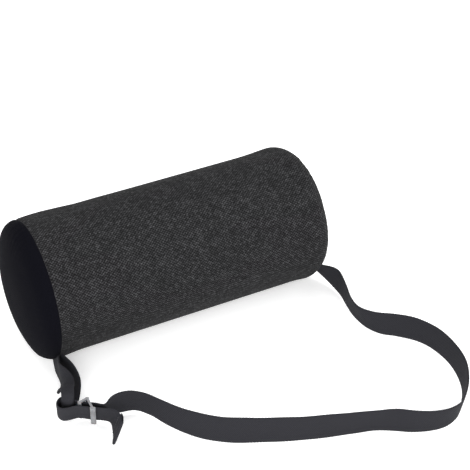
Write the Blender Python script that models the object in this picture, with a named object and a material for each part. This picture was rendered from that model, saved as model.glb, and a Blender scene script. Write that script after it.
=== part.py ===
"""Lumbar roll: a foam roll in a zipped fabric cover, with a webbing strap and a three-bar buckle.

The roll lies on the floor with its axis along X and its origin at the middle of the flat strip it
rests on.  The strap leaves the right-hand end, runs round in front of the roll (-Y) standing on its
edge, threads the buckle, goes round the webbing tab sewn to the left-hand end, comes back through the
buckle and ends in a hemmed tail.  Lengths below are in millimetres and become metres in the meshes.
"""
import math

import bmesh
import bpy
from mathutils import Vector

MM = 0.001

# ---- driving dimensions -----------------------------------------------------------------------------
ROLL_RADIUS = 60.0          # outside of the cover
BODY_HALF = 118.0           # straight part of the cover, each way from the middle
LEFT_CROWN = 22.0           # how far the puffed left end stands out beyond its seam
RIGHT_SHOULDER = 18.0       # radius that the cover turns over at the right end
RIGHT_SEAM_INSET = 10.0     # how far the seam on the right end lies in from the roll's outside
RIGHT_CROWN = 6.0           # how far the right end stands out beyond its seam
FLAT_WIDTH = 24.0           # strip that the roll's weight presses flat
COVER_WALL = 1.2
CLEAR = 0.3                 # gap that neighbouring solids keep
FOAM_CLEAR = 0.4            # slack of the cover on its foam
SIDES = 64                  # facets round the roll

SEAM_WIDTH = 6.0            # sewn edges turned to the inside
SEAM_THICK = 1.0

ZIP_INSET = 19.0            # from each end of the straight cover to the chain's end
ZIP_TAPE = 12.0             # one tape's width
TAPE_PAST = 3.0             # the tapes run this far past each end of the chain
ZIP_TAPE_THICK = 0.6
ZIP_COIL = 1.8              # one coil's width
ZIP_COIL_THICK = 1.6
ZIP_GAP = 1.6               # between the coils, for the slider's neck
ZIP_SLOT = 7.2              # opening in the cover
SLIDER_LENGTH = 9.0
SLIDER_WIDTH = 7.0
SLIDER_PLATE = 1.2
PULL_LENGTH = 22.0
PULL_WIDTH = 5.2
PULL_THICK = 1.2
SLIDER_PARKED = 13.0        # the closed slider's middle, in from the chain's end
ZIP_STOP = 2.0              # a stop's length
ZIP_SLOT_PAST = 4.0         # the cover's opening runs this far past each end of the chain
NECK_LENGTH = 3.0           # the post between the slider's two plates
PIN_RADIUS = 0.6            # the pull's pin
PIN_ABOVE = 1.2             # its middle, above the slider's top plate
BRIDGE_HALF = 3.9           # half the length of the bridge that holds the pin
BRIDGE_THICK = 1.0
BRIDGE_WIDE = 1.6
PULL_ARM = 1.1              # width of each of the pull's two arms
OVERLAP = 0.2               # joined shapes reach this far into each other

WEB_WIDTH = 25.0
WEB_THICK = 1.5
STITCH_HIGH = 0.6
STITCH_WIDE = 3.0
STITCH_EDGE = 1.8           # stitching stops short of the webbing's edges
STITCH_LIFT = 0.5           # stitching clears the twisting webbing by this
FLOOR_GAP = 0.3             # the webbing's lower edge above the floor
LIFT_AXIS_ABOVE = 0.7       # the strap bends up about a line just above its top edge

BAR_PITCH = 5.5
BAR_WIDE = 3.0
BAR_THICK = 1.8
RAIL_THICK = 2.4
LINK_WIDE = 1.7             # the slim links between bars that make each rail
LINK_INSET = 0.1            # each link's faces, inside the bars' ends and inside the last link's
BAR_END_CLEAR = 0.5         # webbing edge to rail
BUCKLE_TRAVEL = 6.0         # how far the buckle can slide on the stiff doubled webbing
BUCKLE_FROM_SEAM = 1.3      # its middle bar, outwards from the left seam
BUCKLE_FROM_ROLL = 52.0     # and in front of the roll
BUCKLE_HEADING = math.radians(30.0)             # turned from -X towards +Y
BUCKLE_LEAN = math.radians(22.0)                # top edge tipped to the front
BUCKLE_ROLL = math.radians(5.0)                 # left end raised

# ---- worked out from them ---------------------------------------------------------------------------
AXIS_Z = math.sqrt(ROLL_RADIUS ** 2 - (FLAT_WIDTH / 2) ** 2)
INNER_RADIUS = ROLL_RADIUS - COVER_WALL
RIGHT_SEAM_RADIUS = ROLL_RADIUS - RIGHT_SEAM_INSET
FOAM_RADIUS = INNER_RADIUS - FOAM_CLEAR
ZIP_LENGTH = 2 * (BODY_HALF - ZIP_INSET)        # the chain
ZIP_CLOSED_AT = ZIP_LENGTH / 2 - SLIDER_PARKED  # slider's place along X when the cover is closed
TAPE_RADIUS = INNER_RADIUS - CLEAR              # outer face of the zip tapes
COIL_RADIUS = TAPE_RADIUS + CLEAR + ZIP_COIL_THICK
SLIDER_INNER_TOP = TAPE_RADIUS - ZIP_TAPE_THICK - 1.5 * CLEAR
SLIDER_INNER_LOW = SLIDER_INNER_TOP - SLIDER_PLATE
FOAM_BACK = SLIDER_INNER_LOW - FOAM_CLEAR       # the foam is pressed flat behind the zip
LAYER_GAP = WEB_THICK + BAR_THICK + 2 * CLEAR   # between the two webbing layers in the buckle
BAR_OFFSET = (WEB_THICK + BAR_THICK) / 2 + CLEAR

LEVEL = Vector((-math.cos(BUCKLE_HEADING), math.sin(BUCKLE_HEADING), 0.0))
FRONT_FLAT = Vector((-math.sin(BUCKLE_HEADING), -math.cos(BUCKLE_HEADING), 0.0))
ALONG = LEVEL * math.cos(BUCKLE_ROLL) + Vector((0, 0, math.sin(BUCKLE_ROLL)))
UPRIGHT = Vector((0, 0, math.cos(BUCKLE_ROLL))) - LEVEL * math.sin(BUCKLE_ROLL)
ACROSS = FRONT_FLAT * math.sin(BUCKLE_LEAN) + UPRIGHT * math.cos(BUCKLE_LEAN)
FRONT = ACROSS.cross(ALONG)
RAIL_REACH = WEB_WIDTH / 2 + BAR_END_CLEAR + RAIL_THICK
RAIL_HALF = BAR_PITCH + BAR_WIDE / 2
BUCKLE_DEPTH = LAYER_GAP + BAR_OFFSET + BAR_THICK / 2
LOWEST_CORNER = -(ALONG.z * (RAIL_HALF + BUCKLE_TRAVEL) - FRONT.z * BUCKLE_DEPTH + ACROSS.z * RAIL_REACH)
BUCKLE_AT = Vector((                            # middle of the inner layer at the middle bar
    -BODY_HALF - BUCKLE_FROM_SEAM,
    -ROLL_RADIUS - BUCKLE_FROM_ROLL,
    FLOOR_GAP - LOWEST_CORNER,
))
STRAIGHT_END = BAR_PITCH + BAR_WIDE / 2         # the webbing is straight between these two
STRAIGHT_START = -(STRAIGHT_END + BUCKLE_TRAVEL + 1.0)
FLEX_LINE_Y = -ROLL_RADIUS  # where the strap bends up, just in front of the roll


# ---- helpers ----------------------------------------------------------------------------------------
def clear_scene():
    for obj in list(bpy.data.objects):
        bpy.data.objects.remove(obj, do_unlink=True)


def material(name, colour, roughness, metallic=0.0):
    mat = bpy.data.materials.new(name)
    mat.use_nodes = True
    shader = mat.node_tree.nodes["Principled BSDF"]
    shader.inputs["Base Color"].default_value = (*colour, 1.0)
    shader.inputs["Roughness"].default_value = roughness
    shader.inputs["Metallic"].default_value = metallic
    return mat


def add_object(name, bm, mat, parent=None, origin=Vector((0, 0, 0))):
    """Turn a bmesh in millimetres into an object in metres, with its origin where it turns or slides."""
    bm.normal_update()
    bmesh.ops.recalc_face_normals(bm, faces=bm.faces)
    bmesh.ops.translate(bm, verts=bm.verts, vec=-origin)
    bmesh.ops.scale(bm, verts=bm.verts, vec=(MM, MM, MM))
    mesh = bpy.data.meshes.new(name)
    bm.to_mesh(mesh)
    bm.free()
    mesh.materials.append(mat)
    mesh.shade_smooth()
    mesh.set_sharp_from_angle(angle=math.radians(35))
    obj = bpy.data.objects.new(name, mesh)
    obj.location = origin * MM
    bpy.context.collection.objects.link(obj)
    if parent is not None:
        obj.parent = parent
        obj.matrix_parent_inverse = parent.matrix_world.inverted()
    return obj


def joint_empty(name, at, parent=None):
    empty = bpy.data.objects.new(name, None)
    empty.location = Vector(at) * MM
    bpy.context.collection.objects.link(empty)
    bpy.context.view_layer.update()
    if parent is not None:
        empty.parent = parent
        empty.matrix_parent_inverse = parent.matrix_world.inverted()
        bpy.context.view_layer.update()
    return empty


def turned(outline, backmost=math.inf):
    """Turn an outline of (x, r, lowest) points about the roll's axis, pressed flat at the floor and back.

    A point with r = 0 becomes the single point that closes an end.  Without one, the outline is a ring's.
    """
    bm = bmesh.new()
    rings = []
    for x, r, lowest in outline:
        if r < 1e-6:
            rings.append([bm.verts.new((x, 0.0, AXIS_Z))])
            continue
        ring = []
        for i in range(SIDES):
            a = 2 * math.pi * i / SIDES
            y = min(r * math.cos(a), backmost)
            z = max(AXIS_Z + r * math.sin(a), lowest)
            ring.append(bm.verts.new((x, y, z)))
        rings.append(ring)
    for near, far in zip(rings, rings[1:] + rings[:1]):
        if len(near) == 1 and len(far) == 1:
            continue
        for i in range(SIDES):
            j = (i + 1) % SIDES
            if len(near) == 1:
                bm.faces.new((near[0], far[i], far[j]))
            elif len(far) == 1:
                bm.faces.new((near[i], near[j], far[0]))
            else:
                bm.faces.new((near[i], near[j], far[j], far[i]))
    return bm


def wall(outer, inner):
    """A turned wall of the cover: its outer outline one way and its inner outline back."""
    return turned([(x, r, 0.0) for x, r in outer] + [(x, r, COVER_WALL) for x, r in reversed(inner)])


def arc_strip(x0, x1, r0, r1, z0, z1, steps=4):
    """A strip that runs along X and follows the roll's curve at the back, between two heights."""
    bm = bmesh.new()
    a0 = z0 / r1
    a1 = z1 / r1
    section = []
    for k in range(steps + 1):
        a = a0 + (a1 - a0) * k / steps
        section.append((r1 * math.cos(a), AXIS_Z + r1 * math.sin(a)))
    for k in range(steps, -1, -1):
        a = a0 + (a1 - a0) * k / steps
        section.append((r0 * math.cos(a), AXIS_Z + r0 * math.sin(a)))
    near = [bm.verts.new((x0, y, z)) for y, z in section]
    far = [bm.verts.new((x1, y, z)) for y, z in section]
    count = len(section)
    for i in range(count):
        j = (i + 1) % count
        bm.faces.new((near[i], near[j], far[j], far[i]))
    for k in range(steps):
        low = count - 1 - k
        bm.faces.new((near[k], near[low], near[low - 1], near[k + 1]))
        bm.faces.new((far[k], far[k + 1], far[low - 1], far[low]))
    return bm


def block(centre, size, turn=None):
    """A box as a bmesh; turn holds its three unit axes."""
    bm = bmesh.new()
    bmesh.ops.create_cube(bm, size=1.0)
    for v in bm.verts:
        v.co = Vector((v.co.x * size[0], v.co.y * size[1], v.co.z * size[2]))
        if turn:
            v.co = turn[0] * v.co.x + turn[1] * v.co.y + turn[2] * v.co.z
        v.co += Vector(centre)
    return bm


def rod(start, end, radius, sides=16):
    """A round bar between two points."""
    bm = bmesh.new()
    axis = (Vector(end) - Vector(start)).normalized()
    side = axis.orthogonal().normalized()
    up = axis.cross(side)
    rings = []
    for centre in (Vector(start), Vector(end)):
        ring = []
        for i in range(sides):
            a = 2 * math.pi * i / sides
            ring.append(bm.verts.new(centre + (side * math.cos(a) + up * math.sin(a)) * radius))
        rings.append(ring)
    for i in range(sides):
        j = (i + 1) % sides
        bm.faces.new((rings[0][i], rings[0][j], rings[1][j], rings[1][i]))
    bm.faces.new(rings[0])
    bm.faces.new(list(reversed(rings[1])))
    return bm


def joined(name, shapes, mat, parent=None, origin=Vector((0, 0, 0)), bevel=0.0):
    """Unite several closed shapes into one solid and round its edges."""
    base = add_object(name, shapes[0], mat, parent, origin)
    for i, shape in enumerate(shapes[1:]):
        tool = add_object(f"{name}_add_{i}", shape, mat)
        cutter(tool)
        mod = base.modifiers.new(f"join_{i}", "BOOLEAN")
        mod.operation = "UNION"
        mod.object = tool
    if bevel:
        mod = base.modifiers.new("rounded_edges", "BEVEL")
        mod.width = bevel * MM
        mod.segments = 2
        mod.limit_method = "ANGLE"
        mod.angle_limit = math.radians(50)
    return base


def cutter(obj):
    obj.hide_render = True
    obj.display_type = "WIRE"


# ---- webbing ----------------------------------------------------------------------------------------
def smooth_route(stations, step):
    """Read points from a centripetal Catmull-Rom curve through (centre, across, width) stations."""
    first = [2 * a - b for a, b in zip(flat(stations[0]), flat(stations[1]))]
    last = [2 * a - b for a, b in zip(flat(stations[-1]), flat(stations[-2]))]
    rows = [first] + [flat(s) for s in stations] + [last]
    out = []
    for k in range(1, len(rows) - 2):
        p0, p1, p2, p3 = rows[k - 1:k + 3]
        t0 = 0.0
        t1 = t0 + max(gap(p0, p1), 1e-6) ** 0.5
        t2 = t1 + max(gap(p1, p2), 1e-6) ** 0.5
        t3 = t2 + max(gap(p2, p3), 1e-6) ** 0.5
        count = max(1, round(gap(p1, p2) / step))
        for i in range(count):
            t = t1 + (t2 - t1) * i / count
            a1 = mix(p0, p1, (t - t0) / (t1 - t0))
            a2 = mix(p1, p2, (t - t1) / (t2 - t1))
            a3 = mix(p2, p3, (t - t2) / (t3 - t2))
            b1 = mix(a1, a2, (t - t0) / (t2 - t0))
            b2 = mix(a2, a3, (t - t1) / (t3 - t1))
            out.append(mix(b1, b2, (t - t1) / (t2 - t1)))
    out.append(rows[-2])
    return [(Vector(r[0:3]), Vector(r[3:6]).normalized(), r[6]) for r in out]


def flat(station):
    centre, across, width = station
    return [*centre, *across, width]


def gap(a, b):
    return math.dist(a[:3], b[:3])


def mix(a, b, t):
    return [x + (y - x) * t for x, y in zip(a, b)]


def ribbon(route, thickness):
    """Sweep a flat band's section along a route of (centre, across, width)."""
    bm = bmesh.new()
    rings = []
    for k, (centre, across, width) in enumerate(route):
        before = route[max(k - 1, 0)][0]
        after = route[min(k + 1, len(route) - 1)][0]
        face = (after - before).cross(across).normalized() * (thickness(k) / 2)
        half = across * (width / 2)
        corners = (half + face, half - face, -half - face, -half + face)
        rings.append([bm.verts.new(centre + c) for c in corners])
    for near, far in zip(rings, rings[1:]):
        for i in range(4):
            j = (i + 1) % 4
            bm.faces.new((near[i], near[j], far[j], far[i]))
    bm.faces.new(rings[0])
    bm.faces.new(list(reversed(rings[-1])))
    bmesh.ops.triangulate(bm, faces=bm.faces)
    return bm


DRAWN_HALF = 118.0          # the strap's run is drawn for a roll of this half length and radius,
DRAWN_RADIUS = 60.0         # and follows the roll's ends and front when they change


def drawn(x, y):
    share = max(-1.0, min(1.0, x / DRAWN_HALF))
    return x + (BODY_HALF - DRAWN_HALF) * share, y - (ROLL_RADIUS - DRAWN_RADIUS)


def on_edge(x, y, tip_x=0.0, tip_y=0.0, lift=0.0):
    """A station of webbing that stands on its lower edge, with its top edge tipped sideways."""
    rise = math.sqrt(WEB_WIDTH ** 2 - tip_x ** 2 - tip_y ** 2)
    across = Vector((tip_x, tip_y, rise)) / WEB_WIDTH
    x, y = drawn(x, y)
    return (Vector((x, y, FLOOR_GAP + lift + rise / 2)), across, WEB_WIDTH)


def in_air(x, y, z, across, width=WEB_WIDTH):
    """A station of webbing anywhere, with the direction across it."""
    x, y = drawn(x, y)
    return (Vector((x, y, z)), Vector(across).normalized(), width)


def in_buckle(s, n):
    """A station in the buckle's own frame: s along the webbing to the left, n to the front."""
    return (BUCKLE_AT + ALONG * s + FRONT * n, ACROSS, WEB_WIDTH)


def on_seam(x, r, angle):
    """A station of webbing sewn along a seam, r from the roll's axis and angle below the front."""
    a = math.radians(angle)
    centre = Vector((x, -r * math.cos(a), AXIS_Z - r * math.sin(a)))
    return (centre, Vector((0.0, -math.sin(a), math.cos(a))), WEB_WIDTH)


def between(start, end, share, out):
    """A station part of the way from one to another, moved out along X."""
    centre = start[0].lerp(end[0], share) + Vector((out, 0.0, 0.0))
    return (centre, start[1].lerp(end[1], share).normalized(), WEB_WIDTH)


def plain(_):
    return WEB_THICK


def right_shoulder(inset, steps=5):
    """(x, r) points where the cover turns over the right end, up to its seam."""
    bend = RIGHT_SHOULDER - inset
    centre_r = ROLL_RADIUS - RIGHT_SHOULDER
    last = math.acos((RIGHT_SEAM_RADIUS - centre_r) / RIGHT_SHOULDER)
    points = []
    for k in range(steps + 1):
        a = last * k / steps
        points.append((BODY_HALF + bend * math.sin(a), centre_r + bend * math.cos(a)))
    return points


RIGHT_SEAM_X = right_shoulder(0.0)[-1][0]

# Right-hand root, sewn along the seam of the right end and laid forwards to the flex line.
RIGHT_ROOT = on_seam(RIGHT_SEAM_X + 0.7, RIGHT_SEAM_RADIUS + 1.8, 54.6)
STRAP_START = on_edge(143.6, -DRAWN_RADIUS - CLEAR / 2)
STRAP_ROOT_END = on_edge(143.6, -DRAWN_RADIUS + CLEAR / 2)
STRAP_ROOT_ROUTE = [
    RIGHT_ROOT,
    between(RIGHT_ROOT, STRAP_ROOT_END, 0.28, 1.2),
    between(RIGHT_ROOT, STRAP_ROOT_END, 0.62, 1.8),
    STRAP_ROOT_END,
]

# The long run, round in front of the roll, to the buckle, the loop beyond it and the tail.
STRAP_ROUTE = [
    STRAP_START,
    on_edge(140.5, -76.0, -1.5, 0.0),
    on_edge(137.0, -93.0, -4.5, 0.5),
    on_edge(138.0, -108.5, -6.5, 3.0),
    on_edge(145.5, -121.0, -5.5, 5.0),
    on_edge(157.5, -131.0, -2.5, 3.0),
    on_edge(169.5, -143.0, 0.0, 1.5),
    on_edge(177.2, -158.0, 1.0, 0.5),
    on_edge(180.2, -174.0, 1.5, 0.0),
    on_edge(179.6, -191.0, 2.0, -1.0),
    on_edge(175.6, -207.0, 2.5, -2.0),
    on_edge(168.2, -221.0, 2.0, -3.0),
    on_edge(157.8, -233.5, 1.5, -4.0),
    on_edge(146.8, -242.5, 1.0, -4.5),
    on_edge(135.0, -245.5, 0.0, -4.0),
    on_edge(122.0, -243.5, 0.0, -2.5),
    on_edge(108.5, -237.5, 0.0, -1.0),
    on_edge(95.5, -229.0, 0.0, 0.0),
    on_edge(81.0, -222.5, 0.0, -2.5),
    on_edge(65.0, -217.5, 0.0, -1.0),
    on_edge(47.0, -211.8, 0.0, 0.5),
    on_edge(27.0, -205.0, 0.0, 1.5),
    on_edge(7.0, -196.5, 0.0, 2.5),
    on_edge(-12.0, -187.5, 0.0, 3.5),
    on_edge(-29.5, -178.0, 0.0, 4.5),
    on_edge(-44.0, -166.0, -0.5, 5.5),
    on_edge(-55.5, -152.5, -1.0, 6.0),
    on_edge(-65.0, -138.0, -2.0, 5.0, 0.4),
    on_edge(-73.0, -125.0, -3.0, 2.0, 1.2),
    on_edge(-82.5, -117.0, -4.0, -1.0, 2.4),
    on_edge(-92.5, -115.2, -3.5, -2.0, 3.0),
    on_edge(-100.0, -116.6, -3.5, -4.5, 4.2),
    in_buckle(STRAIGHT_START, 0.0),
    in_buckle(STRAIGHT_START / 2, 0.0),
    in_buckle(0.0, 0.0),
    in_buckle(STRAIGHT_END, 0.0),
    in_buckle(STRAIGHT_END + 4.0, -0.9),
    in_buckle(STRAIGHT_END + 8.0, -2.0),
    in_buckle(STRAIGHT_END + 11.5, -2.4),
    in_buckle(STRAIGHT_END + 14.3, -1.5),
    in_buckle(STRAIGHT_END + 16.1, 0.9),
    in_buckle(STRAIGHT_END + 16.4, LAYER_GAP - 0.3),
    in_buckle(STRAIGHT_END + 15.0, LAYER_GAP + 2.2),
    in_buckle(STRAIGHT_END + 11.8, LAYER_GAP + 3.6),
    in_buckle(STRAIGHT_END + 8.0, LAYER_GAP + 3.0),
    in_buckle(STRAIGHT_END + 4.0, LAYER_GAP + 1.4),
    in_buckle(STRAIGHT_END, LAYER_GAP),
    in_buckle(0.0, LAYER_GAP),
    in_buckle(STRAIGHT_START / 2, LAYER_GAP),
    in_buckle(STRAIGHT_START, LAYER_GAP),
    in_air(-104.4, -125.4, 14.8, (-0.02, -0.36, 0.92)),
    in_air(-102.7, -131.0, 13.6, (0.16, -0.25, 0.95)),
    in_air(-103.6, -136.9, 12.8, (0.28, -0.12, 0.95)),
    in_air(-106.2, -142.6, 12.6, (0.34, -0.06, 0.94)),
]
HEM_LENGTH = 11.0
HEM_THICK = 2 * WEB_THICK
HEM_THREAD_WIDE = 1.2

# The tab crosses the strap's loop: its middle line, in the buckle's frame, and its gathered width there.
TAB_AT = STRAIGHT_END + 8.4
TAB_GATHERED = 10.5
TAB_INSIDE = WEB_THICK + CLEAR + 0.1        # its front leg, in front of the strap's inner layer
TAB_LEG_GAP = 9.2                           # between its two legs at the flex line
HALF_WEB = WEB_WIDTH / 2
LEG_A = -122.6
LEG_B = LEG_A + TAB_LEG_GAP


def at_tab(n, w, width=TAB_GATHERED):
    centre = BUCKLE_AT + ALONG * TAB_AT + FRONT * n + ACROSS * w
    return (centre, -ALONG, width)


TAB_ROUTE = [
    on_edge(LEG_A, -DRAWN_RADIUS - CLEAR / 2),
    in_air(-124.6, -72.0, 15.6, (0.34, -0.27, 0.90), 23.0),
    in_air(-126.8, -84.0, 22.0, (0.68, -0.46, 0.56), 16.0),
    in_air(-129.6, -96.0, 30.6, (0.84, -0.50, 0.18), 12.0),
    at_tab(-2.6, HALF_WEB + 2.7),
    at_tab(0.6, HALF_WEB + 2.1),
    at_tab(TAB_INSIDE, HALF_WEB - 0.3),
    at_tab(TAB_INSIDE, 4.0),
    at_tab(TAB_INSIDE, -4.0),
    at_tab(TAB_INSIDE, -HALF_WEB + 0.1),
    at_tab(0.9, -HALF_WEB - 2.3),
    at_tab(-1.6, -HALF_WEB - 3.1),
    at_tab(-5.2, -HALF_WEB - 2.9),
    in_air(-121.8, -85.6, 6.9, (0.70, -0.46, 0.54), 15.0),
    in_air(-114.9, -76.4, 10.4, (0.36, -0.28, 0.89), 20.0),
    in_air(-112.9, -68.6, 12.6, (0.08, -0.06, 0.99), 24.0),
    on_edge(LEG_B, -DRAWN_RADIUS - CLEAR / 2),
]

# Both ends of the tab, laid together and sewn along the left-hand seam.
TAB_SEAM_RADIUS = ROLL_RADIUS + 1.2
TAB_SEAM_ANGLE = 47.8
TAB_NOSE = on_seam(-BODY_HALF + 0.4, TAB_SEAM_RADIUS, TAB_SEAM_ANGLE)
TAB_LEFT = on_seam(-BODY_HALF - 0.9, TAB_SEAM_RADIUS + 0.4, TAB_SEAM_ANGLE)
TAB_RIGHT = on_seam(-BODY_HALF + 1.5, TAB_SEAM_RADIUS + 0.5, TAB_SEAM_ANGLE)
TAB_END_A = on_edge(LEG_A, -DRAWN_RADIUS + CLEAR / 2)
TAB_END_B = on_edge(LEG_B, -DRAWN_RADIUS + CLEAR / 2)
TAB_ROOT_ROUTE = [
    TAB_END_A,
    between(TAB_LEFT, TAB_END_A, 0.56, 0.0),
    between(TAB_LEFT, TAB_END_A, 0.16, -0.1),
    TAB_LEFT,
    TAB_NOSE,
    TAB_RIGHT,
    between(TAB_RIGHT, TAB_END_B, 0.2, 0.2),
    between(TAB_RIGHT, TAB_END_B, 0.56, 0.2),
    TAB_END_B,
]


# ---- the roll ---------------------------------------------------------------------------------------
def left_dome(radius, depth, steps=9):
    """(x, r) points from the seam to the crown of the puffed left end."""
    points = []
    for k in range(steps + 1):
        a = math.pi / 2 * k / steps
        r = radius * math.cos(a) ** (2 / 2.6)
        d = depth * math.sin(a) ** (2 / 2.2)
        points.append((-BODY_HALF - d, 0.0 if k == steps else r))
    return points


def right_crown(inset, radius, steps=6):
    """(x, r) points across the right end, from its seam to the middle."""
    points = []
    for k in range(steps + 1):
        r = radius * (1 - k / steps)
        x = RIGHT_SEAM_X + RIGHT_CROWN * (1 - (r / RIGHT_SEAM_RADIUS) ** 2) - inset
        points.append((x, r))
    return points


def make_foam(mat):
    edge_room = INNER_RADIUS - SEAM_THICK - 4 * CLEAR      # the foam narrows inside the left seam's edges
    dome = left_dome(edge_room, LEFT_CROWN - COVER_WALL - CLEAR)
    outline = list(reversed(dome))
    outline.append((-BODY_HALF + SEAM_WIDTH / 2 + 1.5, edge_room))
    outline.append((-BODY_HALF + SEAM_WIDTH / 2 + 6.0, FOAM_RADIUS))
    seat = RIGHT_SEAM_X - COVER_WALL - SEAM_THICK - 3 * CLEAR
    outline += [(x, r) for x, r in right_shoulder(COVER_WALL + FOAM_CLEAR) if x < seat - 1.0]
    inside = RIGHT_SEAM_RADIUS - SEAM_WIDTH - 4 * CLEAR
    outline.append((seat, RIGHT_SEAM_RADIUS - 1.0))
    outline.append((seat, inside))
    outline += right_crown(COVER_WALL + FOAM_CLEAR, inside - 1.0)
    lowest = COVER_WALL + FOAM_CLEAR
    return add_object("foam_core", turned([(x, r, lowest) for x, r in outline], FOAM_BACK), mat)


def make_cover_body(mat):
    end = -BODY_HALF + CLEAR / 2
    stations = (end, end + 5.0, 0.0)
    outer = [(x, ROLL_RADIUS) for x in stations] + right_shoulder(0.0)
    inner = [(x, INNER_RADIUS) for x in stations] + right_shoulder(COVER_WALL)
    body = add_object("cover_body", wall(outer, inner), mat)
    through = 12 * COVER_WALL
    slot = block((0.0, ROLL_RADIUS, AXIS_Z), (ZIP_LENGTH + 2 * ZIP_SLOT_PAST, through, ZIP_SLOT))
    tool = add_object("zip_slot_cutter", slot, mat)
    cutter(tool)
    mod = body.modifiers.new("zip_slot", "BOOLEAN")
    mod.operation = "DIFFERENCE"
    mod.object = tool
    return body


def make_caps(mat):
    start = -CLEAR / 2
    outer = [(x + start, r) for x, r in left_dome(ROLL_RADIUS, LEFT_CROWN)]
    inner = [(x + start, r) for x, r in left_dome(INNER_RADIUS, LEFT_CROWN - COVER_WALL)]
    add_object("cover_cap_left", wall(outer, inner), mat)
    outer = right_crown(0.0, RIGHT_SEAM_RADIUS - CLEAR)
    inner = right_crown(COVER_WALL, right_shoulder(COVER_WALL)[-1][1] - CLEAR)
    add_object("cover_cap_right", wall(outer, inner), mat)


def make_seam_edges(mat):
    """The sewn edges that are turned to the inside: a band at the left, a flat ring at the right."""
    outside = INNER_RADIUS - CLEAR
    x0 = -BODY_HALF - SEAM_WIDTH / 2
    x1 = -BODY_HALF + SEAM_WIDTH / 2
    drop = 0.4              # the dome narrows a little within the band's width
    lowest = COVER_WALL + CLEAR
    band = [(x0, outside - drop), (x1, outside), (x1, outside - SEAM_THICK), (x0, outside - drop - SEAM_THICK)]
    add_object("seam_edge_left", turned([(x, r, lowest) for x, r in band]), mat)
    face = RIGHT_SEAM_X - COVER_WALL - CLEAR
    rim = RIGHT_SEAM_RADIUS - 2 * CLEAR
    back = face - SEAM_THICK
    ring = [(face, rim), (face, rim - SEAM_WIDTH), (back, rim - SEAM_WIDTH), (back, rim)]
    add_object("seam_edge_right", turned([(x, r, 0.0) for x, r in ring]), mat)


# ---- the zip ----------------------------------------------------------------------------------------
def make_zip(tape_mat, coil_mat, metal):
    half = ZIP_LENGTH / 2
    for name, sign in (("upper", 1), ("lower", -1)):
        near = (ZIP_GAP + ZIP_COIL) / 2
        past = half + TAPE_PAST
        tape = arc_strip(-past, past, TAPE_RADIUS - ZIP_TAPE_THICK, TAPE_RADIUS,
                         sign * near, sign * (near + ZIP_TAPE), 6)
        add_object(f"zip_tape_{name}", tape, tape_mat)
        coil = arc_strip(-half, half, COIL_RADIUS - ZIP_COIL_THICK, COIL_RADIUS,
                         sign * ZIP_GAP / 2, sign * (ZIP_GAP / 2 + ZIP_COIL), 2)
        add_object(f"zip_coil_{name}", coil, coil_mat)
    stop_base = TAPE_RADIUS + CLEAR
    for name, sign in (("closed_end", 1), ("open_end", -1)):
        at = (sign * (half + CLEAR + ZIP_STOP / 2), stop_base + ZIP_COIL_THICK / 2, AXIS_Z)
        stop = block(at, (ZIP_STOP, ZIP_COIL_THICK, 2 * ZIP_COIL + ZIP_GAP))
        add_object(f"zip_stop_{name}", stop, metal)


SLIDER_TOP = COIL_RADIUS + CLEAR + 0.1 + SLIDER_PLATE
PIN_Y = SLIDER_TOP + PIN_ABOVE


def make_slider(metal):
    at = Vector((ZIP_CLOSED_AT, 0.0, AXIS_Z))
    slide = joint_empty("zip_slide_axis", (ZIP_CLOSED_AT, SLIDER_TOP, AXIS_Z))
    top = block(at + Vector((0, SLIDER_TOP - SLIDER_PLATE / 2, 0)), (SLIDER_LENGTH, SLIDER_PLATE, SLIDER_WIDTH))
    under_y = SLIDER_INNER_LOW + SLIDER_PLATE / 2
    under = block(at + Vector((0, under_y, 0)), (SLIDER_LENGTH, SLIDER_PLATE, SLIDER_WIDTH))
    low = SLIDER_INNER_TOP - OVERLAP
    high = SLIDER_TOP - SLIDER_PLATE + OVERLAP
    neck = block(at + Vector((0, (low + high) / 2, 0)), (NECK_LENGTH, high - low, ZIP_GAP - 2 * CLEAR))
    bar_low = PIN_Y + PIN_RADIUS + CLEAR
    bar_at = at + Vector((0, bar_low + BRIDGE_THICK / 2, 0))
    bar = block(bar_at, (2 * BRIDGE_HALF, BRIDGE_THICK, BRIDGE_WIDE))
    shapes = [top, under, neck, bar]
    for sign in (-1, 1):
        y0 = SLIDER_TOP - OVERLAP
        y1 = bar_low + OVERLAP
        x = sign * (BRIDGE_HALF - BRIDGE_THICK / 2)
        leg_at = at + Vector((x, (y0 + y1) / 2, 0))
        shapes.append(block(leg_at, (BRIDGE_THICK, y1 - y0, BRIDGE_WIDE)))
    joined("zip_slider", shapes, metal, slide, Vector((ZIP_CLOSED_AT, SLIDER_TOP, AXIS_Z)))

    pin_at = Vector((ZIP_CLOSED_AT, PIN_Y, AXIS_Z))
    swing = joint_empty("zip_pull_axis", pin_at, slide)
    side = PULL_WIDTH / 2
    shapes = [rod(pin_at - Vector((0, 0, side)), pin_at + Vector((0, 0, side)), PIN_RADIUS, 12)]
    reach = BRIDGE_HALF + NECK_LENGTH / 2       # the arms clear the bridge before the plate starts
    for sign in (-1, 1):
        arm_at = pin_at + Vector((reach / 2, 0, sign * (side - PULL_ARM / 2)))
        shapes.append(block(arm_at, (reach + 2 * OVERLAP, PULL_THICK * 0.9, PULL_ARM)))
    plate = PULL_LENGTH - reach
    plate_at = pin_at + Vector((reach + plate / 2, 0, 0))
    shapes.append(block(plate_at, (plate, PULL_THICK, PULL_WIDTH)))
    joined("zip_pull", shapes, metal, swing, pin_at)


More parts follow.
